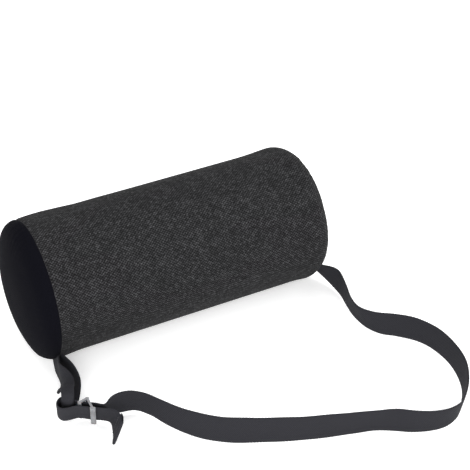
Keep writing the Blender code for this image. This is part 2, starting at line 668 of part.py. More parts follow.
# ---- strap, tab and buckle --------------------------------------------------------------------------
def stitch_patch(route, k, mat, name, parent, side=1.0, long=STITCH_WIDE, over=WEB_THICK):
    """A raised patch of stitching on one face of a ribbon, at its k-th station."""
    centre, across, width = route[k]
    heading = (route[k + 1][0] - route[k - 1][0]).normalized()
    face = heading.cross(across).normalized() * side
    along = across.cross(face).normalized()
    lift = over / 2 + STITCH_LIFT + STITCH_HIGH / 2
    bm = block(centre + face * lift, (long, STITCH_HIGH, width - 2 * STITCH_EDGE), (along, face, across))
    return add_object(name, bm, mat, parent)


def make_strap(web, thread):
    lift = joint_empty("strap_lift_axis", (0.0, FLEX_LINE_Y, FLOOR_GAP + WEB_WIDTH + LIFT_AXIS_ABOVE))
    root = smooth_route(STRAP_ROOT_ROUTE, 3.0)
    add_object("strap_root", ribbon(root, plain), web)
    stitch_patch(root, 2, thread, "strap_root_bartack", None, -1.0)

    run = smooth_route(STRAP_ROUTE, 2.6)
    left = [0.0] * len(run)
    for k in range(len(run) - 2, -1, -1):
        left[k] = left[k + 1] + (run[k + 1][0] - run[k][0]).length

    def hemmed(k):
        return HEM_THICK if left[k] < HEM_LENGTH else WEB_THICK

    add_object("strap", ribbon(run, hemmed), web, lift)
    seam = next(k for k in range(len(run)) if left[k] < HEM_LENGTH - 2.5)
    stitch_patch(run, seam, thread, "tail_hem_thread", lift, 1.0, HEM_THREAD_WIDE, HEM_THICK)
    return lift


def make_tab(web, thread, lift):
    root = smooth_route(TAB_ROOT_ROUTE, 1.6)
    add_object("tab_root", ribbon(root, plain), web)
    stitch_patch(root, 3, thread, "tab_root_bartack", None, -1.0)
    add_object("tab_loop", ribbon(smooth_route(TAB_ROUTE, 1.5), plain), web, lift)


def make_buckle(plastic, lift):
    """Three bars between two rails.  The middle bar lies behind both webbing layers, the left one
    between them and the right one in front of them, so the webbing threads straight through."""
    slide = joint_empty("buckle_slide_axis", BUCKLE_AT, lift)
    bars = ((-BAR_PITCH, LAYER_GAP + BAR_OFFSET), (0.0, -BAR_OFFSET), (BAR_PITCH, BAR_OFFSET))
    axes = (ALONG, FRONT, ACROSS)
    shapes = []
    for s, n in bars:
        at = BUCKLE_AT + ALONG * s + FRONT * n
        shapes.append(block(at, (BAR_WIDE, BAR_THICK, 2 * RAIL_REACH), axes))
    for sign in (-1, 1):
        shapes += rail(bars, sign * (RAIL_REACH - RAIL_THICK / 2))
    return joined("buckle", shapes, plastic, slide, BUCKLE_AT.copy(), 0.45)


def rail(bars, w):
    """One side of the buckle: slim links from bar to bar, each a little thinner than the last."""
    links = []
    for k, ((s0, n0), (s1, n1)) in enumerate(zip(bars, bars[1:])):
        run = ALONG * (s1 - s0) + FRONT * (n1 - n0)
        at = BUCKLE_AT + ALONG * ((s0 + s1) / 2) + FRONT * ((n0 + n1) / 2) + ACROSS * w
        axes = (run.normalized(), ACROSS.cross(run.normalized()), ACROSS)
        links.append(block(at, (run.length, LINK_WIDE, RAIL_THICK - 2 * (k + 1) * LINK_INSET), axes))
    return links


def main():
    clear_scene()
    foam = material("polyurethane_foam", (0.80, 0.78, 0.66), 0.95)
    mesh_cloth = material("charcoal_mesh_fabric", (0.037, 0.037, 0.038), 0.9)
    plain_cloth = material("navy_black_plain_fabric", (0.008, 0.008, 0.012), 0.85)
    web = material("charcoal_webbing", (0.035, 0.035, 0.04), 0.85)
    thread = material("polyester_thread", (0.03, 0.03, 0.033), 0.7)
    tape = material("zip_tape", (0.02, 0.02, 0.022), 0.9)
    coil = material("nylon_coil", (0.02, 0.02, 0.02), 0.4)
    metal = material("black_zinc", (0.05, 0.05, 0.05), 0.35, 1.0)
    plastic = material("grey_acetal", (0.30, 0.30, 0.30), 0.45)

    make_foam(foam)
    make_cover_body(mesh_cloth)
    make_caps(plain_cloth)
    make_seam_edges(plain_cloth)
    make_zip(tape, coil, metal)
    make_slider(metal)
    lift = make_strap(web, thread)
    make_tab(web, thread, lift)
    make_buckle(plastic, lift)


main()
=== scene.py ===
# %% [markdown]
# # A lumbar roll with a webbing strap
#
# A foam roll in a zipped fabric cover, held to a chair's back by one length of black webbing.  The
# webbing starts in the seam of the right-hand end, runs round in front of the roll, threads a plastic
# buckle, goes round a short webbing loop sewn into the left-hand end, comes back and ends in a hem.
#
# The model's solids come in as a fixed frame.  Each step below lays the finished surface of one piece
# over them.  Lengths are in millimetres here, and one function turns them to metres.

# %% load the frame
import math
import random

import bmesh
import bpy
import numpy as np
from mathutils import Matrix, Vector


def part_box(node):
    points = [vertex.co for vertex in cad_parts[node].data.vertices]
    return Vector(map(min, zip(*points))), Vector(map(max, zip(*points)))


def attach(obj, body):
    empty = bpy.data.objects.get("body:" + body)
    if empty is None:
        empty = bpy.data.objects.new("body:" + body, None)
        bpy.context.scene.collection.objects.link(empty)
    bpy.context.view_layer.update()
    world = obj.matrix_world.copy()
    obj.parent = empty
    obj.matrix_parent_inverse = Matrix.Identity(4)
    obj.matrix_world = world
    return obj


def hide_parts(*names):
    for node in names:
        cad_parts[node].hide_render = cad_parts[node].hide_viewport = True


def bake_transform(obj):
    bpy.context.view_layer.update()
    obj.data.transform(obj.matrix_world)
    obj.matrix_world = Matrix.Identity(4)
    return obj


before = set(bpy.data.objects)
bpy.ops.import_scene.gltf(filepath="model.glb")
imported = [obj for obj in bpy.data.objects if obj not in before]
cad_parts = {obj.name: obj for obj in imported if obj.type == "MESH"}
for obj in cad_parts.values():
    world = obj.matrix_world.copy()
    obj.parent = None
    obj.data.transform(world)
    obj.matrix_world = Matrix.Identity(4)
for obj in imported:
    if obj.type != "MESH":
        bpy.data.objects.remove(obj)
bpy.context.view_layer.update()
MM = 0.001


def box_mm(node):
    low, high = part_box(node)
    return low / MM, high / MM


# %% [markdown]
# The sizes that every piece shares come from the frame: how wide the roll is, where its axis runs and
# where the seams of its two ends lie.  Reading them here keeps each fabric surface on its solid.

# %% sizes from the frame
body_low, body_high = box_mm("cover_body")
left_low = box_mm("cover_cap_left")[0]
right_high = box_mm("cover_cap_right")[1]

CLEAR = 0.3                                     # gap that the neighbouring solids keep
ROLL_RADIUS = body_high.y
AXIS_Z = body_high.z - ROLL_RADIUS
LEFT_SEAM_X = body_low.x - CLEAR / 2
LEFT_CROWN = LEFT_SEAM_X - CLEAR / 2 - left_low.x
RIGHT_SEAM_RADIUS = right_high.y + CLEAR
SHOULDER = 18.0                                 # radius that the cover turns over at the right end
RIGHT_SEAM_X = body_high.x
SHOULDER_TURN = math.acos((RIGHT_SEAM_RADIUS - ROLL_RADIUS + SHOULDER) / SHOULDER)
SHOULDER_X = RIGHT_SEAM_X - SHOULDER * math.sin(SHOULDER_TURN)
RIGHT_CROWN = right_high.x - RIGHT_SEAM_X
print(f"roll {2 * ROLL_RADIUS:.1f} mm across, seams at x = {LEFT_SEAM_X:.1f} and {RIGHT_SEAM_X:.1f}")


# %% [markdown]
# The camera looks down at the roll from its front left, at a long lens, as for a catalogue picture.
# Three large soft lights and a pale sky light it: dark fabric needs wide lights, because a small one
# leaves most of it black and puts a hard shadow on the floor.

# %% camera
TARGET = Vector((58.1, -21.2, 69.6))            # the middle of the view, in millimetres
VIEW_TURN = math.radians(26.78)
VIEW_TIP = math.radians(36.89)
VIEW_DISTANCE = 1200.0
CAMERA_LENS = 106.1

look = Vector((math.sin(VIEW_TURN) * math.cos(VIEW_TIP), math.cos(VIEW_TURN) * math.cos(VIEW_TIP),
               -math.sin(VIEW_TIP)))
camera = bpy.data.objects.new("camera", bpy.data.cameras.new("camera"))
camera.data.lens = CAMERA_LENS
camera.data.sensor_width = 36.0
camera.data.dof.use_dof = False
camera.location = (TARGET - look * VIEW_DISTANCE) * MM
camera.rotation_euler = look.to_track_quat("-Z", "Y").to_euler()
bpy.context.scene.collection.objects.link(camera)
bpy.context.scene.camera = camera
bpy.context.scene.view_settings.view_transform = "Standard"
print("camera at", [round(c, 3) for c in camera.location])


# %% lights and floor
def linear(value):
    """One sRGB channel, 0 to 1, as linear light."""
    return value / 12.92 if value <= 0.04045 else ((value + 0.055) / 1.055) ** 2.4


def colour(text):
    """An sRGB hex colour such as #37373a as linear RGBA."""
    return tuple(linear(int(text[i:i + 2], 16) / 255) for i in (1, 3, 5)) + (1.0,)


def soft_light(name, place, size, power, tint="#ffffff"):
    """A square light at a place in metres, aimed at the roll."""
    data = bpy.data.lights.new(name, "AREA")
    data.size = size
    data.energy = power
    data.color = colour(tint)[:3]
    light = bpy.data.objects.new(name, data)
    light.location = place
    light.rotation_euler = (LIT_PLACE - Vector(place)).to_track_quat("-Z", "Y").to_euler()
    bpy.context.scene.collection.objects.link(light)


LIT_PLACE = Vector((0.0, -0.05, 0.06))          # what every light aims at, in metres
SKY_STRENGTH = 0.75
soft_light("window_left", (-0.9, -1.7, 1.1), 1.3, 34.0)
soft_light("window_right", (1.5, -0.9, 1.0), 1.3, 14.0)
soft_light("overhead", (0.1, 0.5, 1.9), 1.8, 20.0)

world = bpy.data.worlds.new("pale_room")
world.use_nodes = True
sky = world.node_tree.nodes["Background"]
sky.inputs["Color"].default_value = colour("#ffffff")
sky.inputs["Strength"].default_value = SKY_STRENGTH
bpy.context.scene.world = world


# %% [markdown]
# A few small helpers carry the rest of the script.  One turns lists of corners and faces into a smooth
# mesh with its UVs in millimetres, so that a weave has its real scale wherever it is used.  Others wrap
# a tube round a run of points, add a shader node together with its settings and links, and hide the
# solid that a finished piece takes the place of while putting the piece on the body that it rides on.

# %% mesh and node helpers
def mesh_piece(name, corners, faces, uv=None, smooth=True):
    """An object from corners in millimetres; uv holds one (u, v) for each face corner."""
    mesh = bpy.data.meshes.new(name)
    mesh.from_pydata([Vector(c) * MM for c in corners], [], faces)
    if uv is not None:
        layer = mesh.uv_layers.new(name="cloth_mm")
        layer.data.foreach_set("uv", np.array(uv, np.float32).ravel())
    mesh.polygons.foreach_set("use_smooth", [smooth] * len(mesh.polygons))
    mesh.update()
    piece = bpy.data.objects.new(name, mesh)
    bpy.context.scene.collection.objects.link(piece)
    return piece


def ring_points(centre, side, up, radius, sides):
    """A ring of points round a centre, in the plane of side and up."""
    turns = [2 * math.pi * i / sides for i in range(sides)]
    return [centre + (side * math.cos(a) + up * math.sin(a)) * radius for a in turns]


def tube_faces(rings, sides, first=0):
    """Faces of a closed tube: quads between its rings of points, and a cap at each end."""
    faces = []
    for k in range(rings - 1):
        a = first + k * sides
        for i in range(sides):
            j = (i + 1) % sides
            faces.append((a + i, a + j, a + sides + j, a + sides + i))
    last = first + (rings - 1) * sides
    return faces + [tuple(first + i for i in reversed(range(sides))), tuple(range(last, last + sides))]


def drop_loose(piece):
    """Remove points that no face uses, and make every face look outwards."""
    bm = bmesh.new()
    bm.from_mesh(piece.data)
    bmesh.ops.delete(bm, geom=[v for v in bm.verts if not v.link_faces], context="VERTS")
    bmesh.ops.recalc_face_normals(bm, faces=bm.faces)
    bm.to_mesh(piece.data)
    bm.free()


def coat(piece, material):
    """Give a piece its one material."""
    piece.data.materials.clear()
    piece.data.materials.append(material)


def assign(piece, body, node=None):
    """Put a piece on its body, in place of its solid."""
    if node:
        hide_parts(node)
    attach(piece, body)
    print(piece.name, len(piece.data.polygons), "faces")


def add_node(tree, kind, settings=None, **links):
    """A node with its attributes and constant inputs in settings, and its linked inputs as sockets."""
    node = tree.nodes.new("ShaderNode" + kind)
    for key, value in (settings or {}).items():
        if isinstance(key, int) or key in node.inputs:
            node.inputs[key].default_value = value
        else:
            setattr(node, key, value)
    for key, socket in links.items():
        place = int(key[1:]) if key[0] == "i" and key[1:].isdigit() else key.replace("_", " ")
        tree.links.new(socket, node.inputs[place])
    return node


def new_material(name, **settings):
    """A Principled material with constant values on the shader's own sockets."""
    material = bpy.data.materials.new(name)
    material.use_nodes = True
    shader = material.node_tree.nodes["Principled BSDF"]
    for key, value in settings.items():
        shader.inputs[key.replace("_", " ")].default_value = value
    return material, material.node_tree, shader


def cloth_place(tree):
    """The place on the cut fabric, in millimetres."""
    return add_node(tree, "UVMap", {"uv_map": "cloth_mm"}).outputs["UV"]


def object_place(tree):
    return add_node(tree, "TexCoord").outputs["Object"]


def noise(tree, place, scale, detail, output="Fac", **settings):
    settings = {"Scale": scale, "Detail": detail, **settings}
    return add_node(tree, "TexNoise", settings, Vector=place).outputs[output]


def shades(tree, factor, *stops):
    """A colour ramp with (place, hex) stops."""
    ramp = add_node(tree, "ValToRGB", Fac=factor)
    elements = ramp.color_ramp.elements
    while len(elements) < len(stops):
        elements.new(0.5)
    for element, (place, text) in zip(elements, stops):
        element.position = place
        element.color = colour(text)
    return ramp.outputs["Color"]


def dress(tree, shader, base, height=None, strength=0.0, distance=0.0):
    """Link a base colour to the shader, and the relief that a height gives."""
    tree.links.new(base, shader.inputs["Base Color"])
    if height:
        relief = add_node(tree, "Bump", {"Strength": strength, "Distance": distance}, Height=height)
        tree.links.new(relief.outputs["Normal"], shader.inputs["Normal"])


def evaluated(piece):
    """The piece's mesh with its modifiers applied, and the modifiers removed."""
    depsgraph = bpy.context.evaluated_depsgraph_get()
    mesh = bpy.data.meshes.new_from_object(piece.evaluated_get(depsgraph), depsgraph=depsgraph)
    piece.modifiers.clear()
    piece.data = mesh
    return piece


# %% floor
FLOOR_GLOW = 0.35                               # a light table: it lifts the shadow under the roll


def painted_board():
    """White painted board: matt, with a faint unevenness from the roller."""
    material, tree, shader = new_material("painted_board", Roughness=0.85, Emission_Strength=FLOOR_GLOW,
                                          Emission_Color=colour("#ffffff"))
    roller = noise(tree, object_place(tree), 3.0, 2.0)
    dress(tree, shader, shades(tree, roller, (0.0, "#f6f6f6"), (1.0, "#fbfbfb")))
    return material


FLOOR_HALF = 6000.0
FLOOR_DROP = -0.15                              # just under the piece's lowest face
floor_corners = [(x * FLOOR_HALF, y * FLOOR_HALF, FLOOR_DROP)
                 for x, y in ((-1, -1), (1, -1), (1, 1), (-1, 1))]
floor = mesh_piece("floor", floor_corners, [(0, 1, 2, 3)], smooth=False)
coat(floor, painted_board())
print("floor laid")


# %% [markdown]
# ## Fabrics and plastics
#
# The cover's long panel is an air mesh: two knitted faces held apart by fine yarns, with rows of small
# holes.  At arm's length it reads as a charcoal grey speckled with lighter yarn ends, so the material
# is built from a staggered lattice of holes and one random shade for each stitch.  The lattice's real
# pitch is near 1.4 mm, which is just coarse enough to show.

# %% woven and knitted materials
def lattice(tree, uv, pitch_u, pitch_v):
    """Staggered rows of holes: 0 in a hole, 1 on the yarn between."""
    parts = add_node(tree, "SeparateXYZ", Vector=uv)
    waves = []
    for name, pitch in (("X", pitch_u), ("Y", pitch_v)):
        turn = add_node(tree, "Math", {"operation": "MULTIPLY", 1: math.pi / pitch}, i0=parts.outputs[name])
        waves.append(turn.outputs[0])
    both = []
    for operation in ("ADD", "SUBTRACT"):
        angle = add_node(tree, "Math", {"operation": operation}, i0=waves[0], i1=waves[1])
        wave = add_node(tree, "Math", {"operation": "SINE"}, i0=angle.outputs[0])
        both.append(add_node(tree, "Math", {"operation": "ABSOLUTE"}, i0=wave.outputs[0]).outputs[0])
    return add_node(tree, "Math", {"operation": "MULTIPLY"}, i0=both[0], i1=both[1]).outputs[0]


def air_mesh():
    """Charcoal polyester air mesh: matt, speckled, with small staggered holes."""
    pitch = 1.45                                # hole to hole, in mm
    material, tree, shader = new_material("polyester_air_mesh", Roughness=0.92, Specular_IOR_Level=0.12)
    uv = cloth_place(tree)
    shift = add_node(tree, "VectorMath", {"operation": "MULTIPLY", 1: (0.9, 0.9, 0.0)},
                     i0=noise(tree, uv, 0.35, 2.0, "Color"))
    loose = add_node(tree, "VectorMath", {"operation": "ADD"}, i0=uv, i1=shift.outputs[0]).outputs[0]
    yarn = lattice(tree, loose, 2 * pitch, 1.7 * pitch)
    stitch = add_node(tree, "TexVoronoi", {"Scale": 1 / pitch, "Randomness": 0.75}, Vector=loose)
    speck = add_node(tree, "SeparateColor", Color=stitch.outputs["Color"]).outputs["Red"]
    ground = shades(tree, yarn, (0.02, "#17171a"), (0.42, "#3a3a3b"), (0.95, "#4b4b4c"))
    light = shades(tree, speck, (0.0, "#8c8c8c"), (0.62, "#bcbcbc"), (1.0, "#ffffff"))
    mottled = shades(tree, noise(tree, uv, 0.11, 3.0), (0.3, "#e4e4e5"), (0.7, "#ffffff"))
    for layer in (light, mottled):
        mixed = add_node(tree, "MixRGB", {"blend_type": "MULTIPLY", "Fac": 1.0}, Color1=ground, Color2=layer)
        ground = mixed.outputs["Color"]
    dress(tree, shader, ground, yarn, 0.55, 0.0004)
    return material


def fine_knit():
    """Navy-black polyester knit of the two ends: dense, smooth, nearly no light back."""
    wale = 0.9                                  # rib to rib; the real 0.5 mm is too fine to show
    material, tree, shader = new_material("navy_black_knit", Roughness=0.95, Specular_IOR_Level=0.04)
    uv = cloth_place(tree)
    rib = lattice(tree, uv, wale, 2.5 * wale)
    tone = add_node(tree, "Mix", {"Factor": 0.6}, A=rib, B=noise(tree, uv, 0.8, 4.0)).outputs["Result"]
    base = shades(tree, tone, (0.1, "#050508"), (0.6, "#0c0c12"), (1.0, "#13131b"))
    dress(tree, shader, base, rib, 0.3, 0.0003)
    return material


def webbing():
    """Soft black polypropylene webbing: a close small weave with uneven, slightly paler yarns."""
    rib = 0.95                                  # weft to weft, in mm
    material, tree, shader = new_material("polypropylene_webbing", Roughness=0.85, Specular_IOR_Level=0.12)
    uv = cloth_place(tree)
    weave = lattice(tree, uv, 1.6 * rib, 2 * rib)
    yarns = noise(tree, uv, 1.1, 3.0, Roughness=0.7)
    tone = add_node(tree, "Mix", {"Factor": 0.65}, A=weave, B=yarns).outputs["Result"]
    base = shades(tree, tone, (0.15, "#19191c"), (0.45, "#252529"), (0.8, "#313136"))
    dress(tree, shader, base, weave, 0.3, 0.0003)
    return material


def woven_tape():
    """The zip's polyester tape: a close, flat, black weave."""
    thread = 0.7
    material, tree, shader = new_material("polyester_zip_tape", Roughness=0.85, Specular_IOR_Level=0.2)
    scaled = add_node(tree, "Mapping", {"Scale": (1 / MM, 1 / MM, 1 / MM)}, Vector=object_place(tree))
    turned = add_node(tree, "Mapping", {"Rotation": (math.radians(90), 0.0, 0.0)},
                      Vector=scaled.outputs["Vector"])
    weave = lattice(tree, turned.outputs["Vector"], thread, thread)
    dress(tree, shader, shades(tree, weave, (0.0, "#0f0f10"), (0.8, "#232326")), weave, 0.4, 0.0002)
    return material


def sewing_thread(name, dark, pale):
    """Twisted polyester thread: its two plies catch the light in short slanted dashes."""
    material, tree, shader = new_material(name, Roughness=0.55, Specular_IOR_Level=0.4)
    dress(tree, shader, shades(tree, noise(tree, object_place(tree), 900.0, 1.0), (0.35, dark), (0.7, pale)))
    return material


def seat_foam():
    """Cut polyurethane foam: pale, matt and open-celled."""
    material, tree, shader = new_material("polyurethane_foam", Roughness=0.95, Subsurface_Weight=0.1,
                                          Subsurface_Scale=0.004)
    cells = add_node(tree, "TexVoronoi", {"Scale": 900.0}, Vector=object_place(tree)).outputs["Distance"]
    dress(tree, shader, shades(tree, cells, (0.0, "#b9b08f"), (0.7, "#ece5cb")), cells, 0.6, 0.0005)
    return material


AIR_MESH = air_mesh()
KNIT = fine_knit()
WEBBING = webbing()
TAPE = woven_tape()
DARK_THREAD = sewing_thread("black_polyester_thread", "#1c1c1f", "#3a3a3f")
# Partly painted highlight: the seam topstitch is real, but its pale grey stands in for light caught on the
# seam's edge.
SEAM_HIGHLIGHT_THREAD = sewing_thread("grey_thread_painted_highlight", "#57575c", "#94949b")
FOAM = seat_foam()
print("fabrics:", [m.name for m in (AIR_MESH, KNIT, WEBBING, TAPE, DARK_THREAD, SEAM_HIGHLIGHT_THREAD, FOAM)])


# %% [markdown]
# The buckle is moulded acetal: mid grey, slightly waxy, with soft moulded edges and fine scuffs where
# webbing has rubbed it.  The zip's slider and pull are zinc castings under black paint, glossy on top
# and worn a little brighter on their edges.

# %% hard materials
def roughened(tree, shader, factor, low, high):
    """Let a factor from 0 to 1 set the roughness between two values."""
    rough = add_node(tree, "MapRange", {"To Min": low, "To Max": high}, Value=factor)
    tree.links.new(rough.outputs["Result"], shader.inputs["Roughness"])


def grey_acetal():
    material, tree, shader = new_material("moulded_acetal", Roughness=0.38, IOR=1.48, Coat_Weight=0.15,
                                          Coat_Roughness=0.25, Subsurface_Weight=0.08, Subsurface_Scale=0.001)
    place = object_place(tree)
    scuff = noise(tree, place, 700.0, 4.0)
    base = shades(tree, noise(tree, place, 160.0, 3.0), (0.3, "#5d5d60"), (0.7, "#737376"))
    dress(tree, shader, base, scuff, 0.15, 0.0001)
    roughened(tree, shader, scuff, 0.30, 0.5)
    return material


def painted_zinc():
    material, tree, shader = new_material("painted_zinc", IOR=1.5, Coat_Weight=0.4, Coat_Roughness=0.15)
    edge = add_node(tree, "NewGeometry").outputs["Pointiness"]
    dress(tree, shader, shades(tree, edge, (0.52, "#141416"), (0.60, "#4c4c50")))
    roughened(tree, shader, noise(tree, object_place(tree), 1200.0, 3.0), 0.28, 0.48)
    return material


def moulded_nylon():
    material, tree, shader = new_material("nylon_coil", Roughness=0.42, IOR=1.53)
    grain = noise(tree, object_place(tree), 500.0, 2.0)
    dress(tree, shader, shades(tree, grain, (0.3, "#18181a"), (0.7, "#2a2a2d")))
    return material


ACETAL = grey_acetal()
ZINC = painted_zinc()
NYLON = moulded_nylon()
print("hard materials:", [m.name for m in (ACETAL, ZINC, NYLON)])


# %% [markdown]
# ## The cover
#
# The cover is a tube of air mesh with a knit disc sewn into each end.  It is a turned shape, so one
# outline of (x, r) points describes it from the left crown to the right crown.  Two things make it
# look sewn and stuffed instead of turned.  A cloth simulation blows up a slightly larger skin on that
# shape with both seams pinned, which gives the uneven swell of fabric over foam.  Then the fabric is
# drawn in at each seam, with the small puckers that a seam leaves.

# %% outline of the roll
LEFT_FULL = 2 / 2.6                             # how full the left end's outline is near its seam,
LEFT_FLAT = 2 / 2.2                             # and how flat it is in the middle
LEFT_STEPS, PANEL_STEPS, SHOULDER_STEPS, RIGHT_STEPS = 60, 40, 20, 40


def outline_points():
    """(x, r) from the left crown to the right crown, and the rows where the two seams fall."""
    points = []
    for k in range(LEFT_STEPS + 1):
        a = math.pi / 2 * (1 - k / LEFT_STEPS)
        r = ROLL_RADIUS * max(math.cos(a), 0.0) ** LEFT_FULL
        points.append((LEFT_SEAM_X - LEFT_CROWN * math.sin(a) ** LEFT_FLAT, r if k else 0.0))
    left_row = len(points) - 1
    for k in range(1, PANEL_STEPS + 1):
        points.append((LEFT_SEAM_X + (SHOULDER_X - LEFT_SEAM_X) * k / PANEL_STEPS, ROLL_RADIUS))
    for k in range(1, SHOULDER_STEPS + 1):
        a = SHOULDER_TURN * k / SHOULDER_STEPS
        points.append((SHOULDER_X + SHOULDER * math.sin(a), ROLL_RADIUS - SHOULDER * (1 - math.cos(a))))
    right_row = len(points) - 1
    for k in range(1, RIGHT_STEPS + 1):
        r = RIGHT_SEAM_RADIUS * (1 - k / RIGHT_STEPS)
        points.append((RIGHT_SEAM_X + RIGHT_CROWN * (1 - (r / RIGHT_SEAM_RADIUS) ** 2), r))
    return np.array(points), left_row, right_row


OUTLINE, LEFT_ROW, RIGHT_ROW = outline_points()
RUN = np.concatenate([[0.0], np.cumsum(np.linalg.norm(np.diff(OUTLINE, axis=0), axis=1))])
S_LEFT = RUN[LEFT_ROW]
S_RIGHT = RUN[RIGHT_ROW]
S_END = RUN[-1]


def on_outline(s):
    """Places (x, r) and outward directions (x, r) at distances s along the outline."""
    x, r = (np.interp(s, RUN, line) for line in OUTLINE.T)
    dx, dr = (np.interp(s + 0.8, RUN, line) - np.interp(s - 0.8, RUN, line) for line in OUTLINE.T)
    size = np.hypot(dx, dr)
    return x, r, -dr / size, dx / size


def skin(s, angles, lift):
    """Points of the roll's surface, lifted by lift[k, i] along its normal and resting on the floor."""
    x, r, nx, nr = on_outline(s)
    r_out = np.maximum(r[:, None] + lift * nr[:, None], 0.0)
    px = x[:, None] + lift * nx[:, None]
    py = r_out * np.cos(angles)[None, :]
    pz = AXIS_Z + r_out * np.sin(angles)[None, :]
    soft = 0.35                                 # how gently the fabric meets the floor
    pz = 0.05 + 0.5 * (pz + np.sqrt(pz ** 2 + soft ** 2))
    return np.stack([px, py, pz], axis=-1)


print(f"outline {S_END:.1f} mm long, seams at {S_LEFT:.1f} and {S_RIGHT:.1f}")


# %% simulate the stuffed skin
SIM_ROUND = 96
SIM_STEP = 4.6
START_INSET = 0.9                               # the skin starts inside its final place and swells
SWELL_CAP = 2.2
SIM_FRAMES = 20
UNEVEN_SPOTS = 26                               # places where the foam under the fabric is uneven
CLOTH = {"quality": 6, "mass": 0.3, "tension_stiffness": 25, "compression_stiffness": 25,
         "bending_stiffness": 1.5, "use_pressure": True, "uniform_pressure_force": 4.0,
         "vertex_group_mass": "seams", "shrink_min": -0.025}


def closed_skin(name, s, angles, lift):
    """A closed grid mesh: rings of points with one point at each crown."""
    rings = skin(s[1:-1], angles, lift[1:-1])
    count = len(angles)
    ends = [skin(s[[k]], angles[:1], lift[[k], :1])[0, 0] for k in (0, -1)]
    corners = [*rings.reshape(-1, 3), *ends]
    faces = []
    for k in range(len(rings) - 1):
        for i in range(count):
            j = (i + 1) % count
            faces.append((k * count + i, (k + 1) * count + i, (k + 1) * count + j, k * count + j))
    last = (len(rings) - 1) * count
    for i in range(count):
        j = (i + 1) % count
        faces.append((len(corners) - 2, i, j))
        faces.append((len(corners) - 1, last + j, last + i))
    return mesh_piece(name, corners, faces)


def smoothed(field, times):
    """A field over (run, angle) with its sharp changes evened out."""
    for _ in range(times):
        field = 0.5 * field + 0.25 * (np.roll(field, 1, 1) + np.roll(field, -1, 1))
        field[1:-1] = 0.5 * field[1:-1] + 0.25 * (field[:-2] + field[2:])
    return field


def uneven_start(s, angles):
    """The skin's first place: a little inside, and not quite the same everywhere."""
    start = np.full((len(s), SIM_ROUND), -START_INSET)
    rng = random.Random(7)
    for _ in range(UNEVEN_SPOTS):
        centre_s = rng.uniform(S_LEFT, S_RIGHT)
        centre_a = rng.uniform(0, 2 * math.pi)
        turn = np.abs((angles[None, :] - centre_a + math.pi) % (2 * math.pi) - math.pi) * ROLL_RADIUS
        far = ((s[:, None] - centre_s) / rng.uniform(18, 40)) ** 2 + (turn / rng.uniform(14, 30)) ** 2
        start = start + rng.uniform(-0.5, 0.4) * np.exp(-far)
    return start


def blown_up(piece, s):
    """Each point's move, in millimetres, when the piece is blown up with its seams pinned."""
    pins = piece.vertex_groups.new(name="seams")
    for seam in (S_LEFT, S_RIGHT):
        row = int(np.argmin(np.abs(s - seam))) - 1
        pins.add(list(range(row * SIM_ROUND, (row + 1) * SIM_ROUND)), 1.0, "REPLACE")
    cloth = piece.modifiers.new("blow_up", "CLOTH")
    for key, value in CLOTH.items():
        setattr(cloth.settings, key, value)
    cloth.settings.effector_weights.gravity = 0.0
    cloth.collision_settings.use_collision = False
    before = np.array([v.co for v in piece.data.vertices]) / MM
    for number in range(1, SIM_FRAMES + 1):
        bpy.context.scene.frame_set(number)
    depsgraph = bpy.context.evaluated_depsgraph_get()
    after = np.array([v.co for v in piece.evaluated_get(depsgraph).data.vertices]) / MM
    bpy.context.scene.frame_set(1)
    bpy.data.objects.remove(piece)
    return after - before


def simulated_swell():
    """How far each point of the skin moves out when it is blown up, as (run, angle, swell)."""
    marks = (0.0, S_LEFT, S_RIGHT, S_END)
    s = np.concatenate([[0.0]] + [np.linspace(a, b, round((b - a) / SIM_STEP) + 1)[1:]
                                  for a, b in zip(marks, marks[1:])])
    angles = np.linspace(0, 2 * math.pi, SIM_ROUND, endpoint=False)
    start = uneven_start(s, angles)
    moved = blown_up(closed_skin("skin_simulation", s, angles, start), s)
    moved = moved[:-2].reshape(len(s) - 2, SIM_ROUND, 3)
    _, _, nx, nr = on_outline(s[1:-1])
    round_y = np.cos(angles)[None, :] * nr[:, None]
    round_z = np.sin(angles)[None, :] * nr[:, None]
    out = moved[..., 0] * nx[:, None] + moved[..., 1] * round_y + moved[..., 2] * round_z
    print(f"cloth moved out by {out.min():.2f} to {out.max():.2f} mm, {out.mean():.2f} on average")
    swell = np.empty((len(s), SIM_ROUND))
    swell[1:-1] = np.clip(out + start[1:-1] + START_INSET, 0.0, SWELL_CAP)
    swell[0] = swell[1].mean()
    swell[-1] = swell[-2].mean()
    return s, smoothed(swell, 2)


SIM_S, SWELL = simulated_swell()


# %% [markdown]
# The fine surface reads the simulated swell, and adds what the simulation's large mesh can't hold: the
# groove at each seam and the puckers that fan out of it.  The rows of points crowd together near the
# seams, where the shape turns fast.

# %% fine surface of the cover
ROUND = 248
WALL = 0.45                                     # one layer of fabric
SLOT_HALF = 3.6                                 # the zip opening, up and down
SLOT_ANGLE = math.asin(SLOT_HALF / ROLL_RADIUS)
SLOT_END = box_mm("zip_tape_upper")[1].x + 1.0
SLOT_STEPS = 4
FINE_ANGLES = np.concatenate([
    np.linspace(-SLOT_ANGLE, SLOT_ANGLE, SLOT_STEPS, endpoint=False),
    np.linspace(SLOT_ANGLE, 2 * math.pi - SLOT_ANGLE, ROUND - SLOT_STEPS, endpoint=False),
])
GROOVE_DEPTH = 0.9
GROOVE_WIDTH = 1.5
BIGGEST_STEP = 2.3
PUCKERS = ((41, 0.9), (57, 2.1), (23, 4.0), (71, 5.2))     # waves round the seam, and where each starts
PUCKER_HIGH = 0.085
MOST_LIFT = 0.75
CAP_FADE = 12.0                                 # the relief dies away this near the middle of each end


def rows_between(a, b, seams):
    """Distances along the outline from a to b, close together near the seams."""
    rows = [a]
    while rows[-1] < b:
        near = min(abs(rows[-1] - s) for s in seams)
        rows.append(rows[-1] + min(BIGGEST_STEP, 0.4 + 0.22 * near))
    share = (b - a) / (rows[-1] - a)
    return a + (np.array(rows) - a) * share


